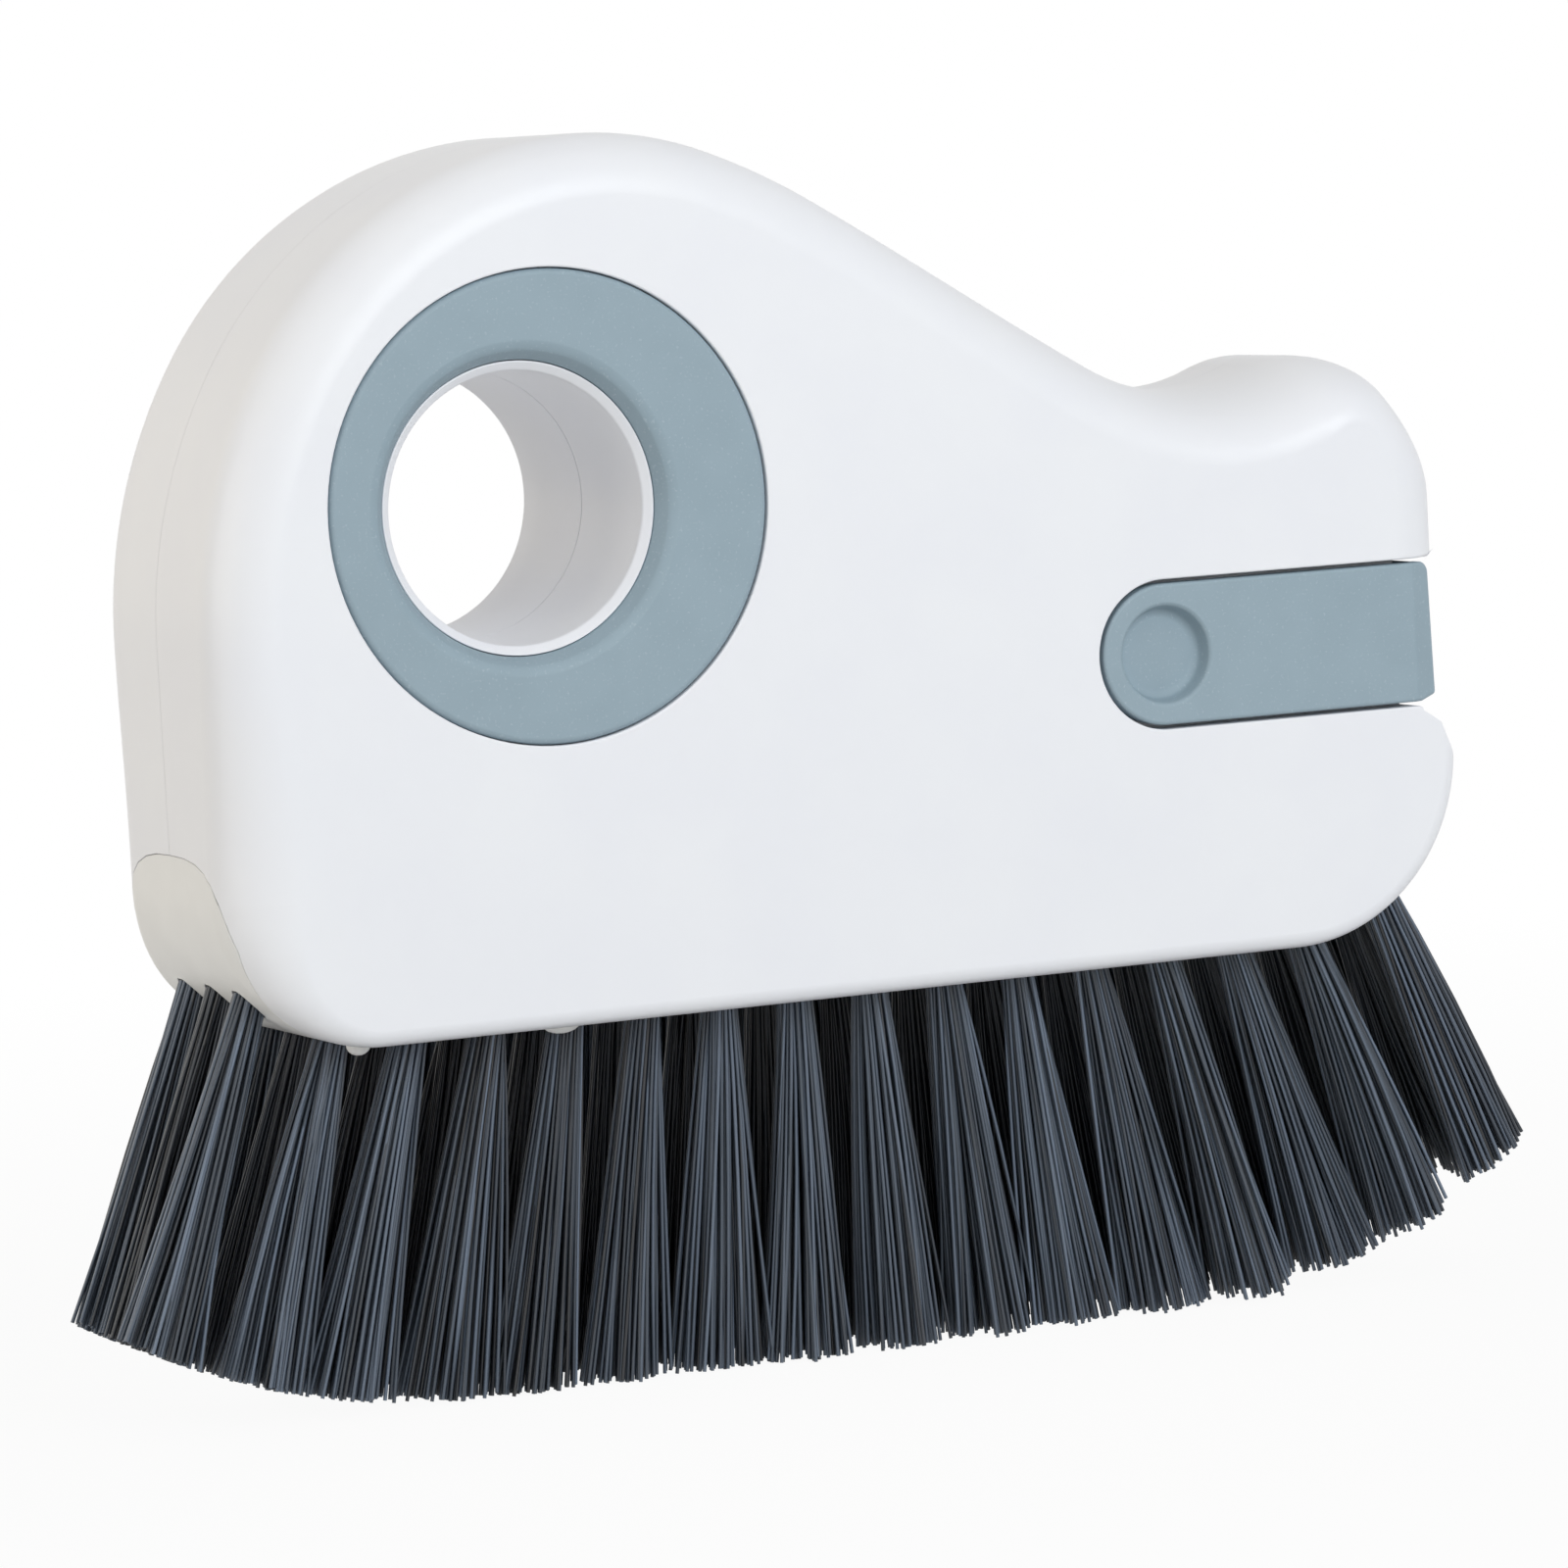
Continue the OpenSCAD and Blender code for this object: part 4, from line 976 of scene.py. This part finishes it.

# %% [markdown]
# The filaments are extruded nylon, dark blue-grey with a faint gloss along each strand. Every
# filament reads its own value, so neighbours differ a little at random, the lightest are painted
# highlights of strands that catch more light, and the middle row is painted darker as shade.

# %% Nylon filament
WEAR_MM = 3
filament_nylon, tree, shader, place = new_material("extruded_nylon_filament")
value = add(tree, "ShaderNodeAttribute", {"attribute_name": "tone"})
tone = add(tree, "ShaderNodeValToRGB", Fac=value.outputs["Fac"])
ramp = tone.color_ramp
# The light end is a painted highlight, the colour of strands that catch the light; the dark end also gives
# the middle row its painted shade.
ramp.elements[0].position, ramp.elements[0].color = 0.0, linear("#1B1C1F")
ramp.elements[1].position, ramp.elements[1].color = 1.0, linear("#6E7A8B")
middle = ramp.elements.new(0.45)
middle.color = linear("#434C58")
wear = add(tree, "ShaderNodeTexNoise", {"Scale": 1 / (WEAR_MM * MM), "Detail": 2.0}, Vector=place)
shade = add(tree, "ShaderNodeMapRange", {"To Min": 0.3, "To Max": 0.46}, Value=wear.outputs["Fac"])
tree.links.new(shader.inputs["Base Color"], tone.outputs["Color"])
tree.links.new(shader.inputs["Roughness"], shade.outputs["Result"])
shader.inputs["IOR"].default_value = 1.53

# %% [markdown]
# The anchors are flat brass wire, bright from the drawing die.

# %% Brass wire
ANCHOR_STREAK_MM = 0.5
brass_wire, tree, shader, place = new_material("drawn_brass_wire")
streak = add(tree, "ShaderNodeTexNoise", {"Scale": 1 / (ANCHOR_STREAK_MM * MM), "Detail": 2.0},
             Vector=place)
tone = add(tree, "ShaderNodeValToRGB", Fac=streak.outputs["Fac"])
tone.color_ramp.elements[0].color = linear("#B8954E")
tone.color_ramp.elements[1].color = linear("#D2B26A")
tree.links.new(shader.inputs["Base Color"], tone.outputs["Color"])
shader.inputs["Metallic"].default_value = 1.0
shader.inputs["Roughness"].default_value = 0.3

# %% [markdown]
# Each piece wears the material of its slot. The anchors are CAD nodes, so only the material in
# their slot changes.

# %% Assigning the materials
FINISH = {"white_plastic": white_polypropylene, "block_plastic": block_polypropylene,
          "soft_grip": soft_rubber, "carrier_plastic": core_nylon, "bristle": filament_nylon}
for piece, _, _, slot in PIECES:
    piece.data.materials.clear()
    piece.data.materials.append(FINISH[slot])
anchors = nodes["tuft_anchors"]
for slot in anchors.material_slots:
    slot.material = brass_wire
print("materials:", len(bpy.data.materials))

# %% [markdown]
# ## Floor and light
#
# The photograph was taken on white, with large soft lights. The floor is a plain pale plane at
# the tips of the bristles. Camera, mirror and see-through rays find it and the world white, while
# all other rays see an ordinary pale floor and a dim world, so the object isn't lit too much.
#
# Near the object a small share of what the eye sees of the floor is lit paper, which keeps the
# shadow. The rest is white, and farther out all of it is, so no horizon shows. From below it is
# clear, so that the underside can be looked at.

# %% Floor
FLOOR_HALF = 3.0            # metres
bm = bmesh.new()
bmesh.ops.create_grid(bm, x_segments=1, y_segments=1, size=FLOOR_HALF)
floor = to_object("floor", bm)


def seen_directly(tree):
    """1 for camera, mirror and see-through rays."""
    path = add(tree, "ShaderNodeLightPath")
    first = add(tree, "ShaderNodeMath", {"operation": "MAXIMUM"})
    tree.links.new(first.inputs[0], path.outputs["Is Camera Ray"])
    tree.links.new(first.inputs[1], path.outputs["Is Glossy Ray"])
    second = add(tree, "ShaderNodeMath", {"operation": "MAXIMUM"})
    tree.links.new(second.inputs[0], first.outputs[0])
    tree.links.new(second.inputs[1], path.outputs["Is Transmission Ray"])
    return second.outputs[0]


floor_paper, tree, shader, place = new_material("pale_paper_floor")
shader.inputs["Base Color"].default_value = linear("#D2D2D2")
shader.inputs["Roughness"].default_value = 0.9
glow = add(tree, "ShaderNodeEmission", {"Color": linear("#FFFFFF"), "Strength": 1.0})
away = add(tree, "ShaderNodeVectorMath", {"operation": "LENGTH"})
tree.links.new(away.inputs[0], place)
fade = add(tree, "ShaderNodeMapRange", {"From Min": 0.1, "From Max": 0.4, "To Min": 0.94, "To Max": 1.0},
           Value=away.outputs["Value"])
share = add(tree, "ShaderNodeMath", {"operation": "MULTIPLY"})
tree.links.new(share.inputs[0], seen_directly(tree))
tree.links.new(share.inputs[1], fade.outputs["Result"])
paper = add(tree, "ShaderNodeMixShader", Fac=share.outputs[0])
tree.links.new(paper.inputs[1], shader.outputs["BSDF"])
tree.links.new(paper.inputs[2], glow.outputs[0])
clear = add(tree, "ShaderNodeBsdfTransparent")
side_seen = add(tree, "ShaderNodeNewGeometry")
both_sides = add(tree, "ShaderNodeMixShader", Fac=side_seen.outputs["Backfacing"])
tree.links.new(both_sides.inputs[1], paper.outputs[0])
tree.links.new(both_sides.inputs[2], clear.outputs[0])
tree.links.new(tree.nodes["Material Output"].inputs["Surface"], both_sides.outputs[0])
floor.data.materials.append(floor_paper)
print("floor's half width in m:", FLOOR_HALF)

# %% [markdown]
# For the eye the world is white paper. For the object it is a dim warm light from all sides, as in
# a studio with pale walls.

# %% World
world = bpy.data.worlds.new("studio")
bpy.context.scene.world = world
world.use_nodes = True
tree = world.node_tree
tree.nodes.clear()
dim = add(tree, "ShaderNodeBackground", {"Color": linear("#FFFCF6"), "Strength": 0.38})
white = add(tree, "ShaderNodeBackground", {"Color": linear("#FFFFFF"), "Strength": 1.0})
blend = add(tree, "ShaderNodeMixShader", Fac=seen_directly(tree))
tree.links.new(blend.inputs[1], dim.outputs[0])
tree.links.new(blend.inputs[2], white.outputs[0])
add(tree, "ShaderNodeOutputWorld", Surface=blend.outputs[0])
print("world light:", round(dim.inputs["Strength"].default_value, 2))

# %% [markdown]
# Four area lights stand round the body, each as large as a small window, because only a large light
# gives white plastic its slow change of tone. The key lights the front face, the fill the heel, one
# behind the body the wall of the finger hole, and a weak one hangs above. The `Standard` view keeps
# white as white.


# %% Lamps
def softbox(name, azimuth, elevation, distance, size, watts, colour="#FFFFFF"):
    """A square area light that looks at the body from an azimuth (0 is the front) and elevation."""
    a, e = math.radians(azimuth), math.radians(elevation)
    away = Vector((math.sin(a) * math.cos(e), -math.cos(a) * math.cos(e), math.sin(e)))
    data = bpy.data.lights.new(name, "AREA")
    data.size = size
    data.energy = watts
    data.color = linear(colour)[:3]
    lamp = bpy.data.objects.new(name, data)
    lamp.location = AIM + away * distance
    lamp.rotation_euler = away.to_track_quat("Z", "Y").to_euler()
    bpy.context.scene.collection.objects.link(lamp)
    print("lamp:", name, "watts:", watts)


AIM = Vector((0, 0, 0.07))  # the middle of the body, in metres
softbox("key", 10, 22, 1.3, 0.7, 9.2, "#F6FBFF")
softbox("fill", -88, 12, 1.4, 0.9, 5.2, "#FFFAF0")
softbox("through_the_hole", -140, 15, 1.4, 0.9, 2.0, "#FFF0D4")
softbox("top", 0, 75, 1.3, 0.9, 1.0)
bpy.context.scene.view_settings.view_transform = "Standard"
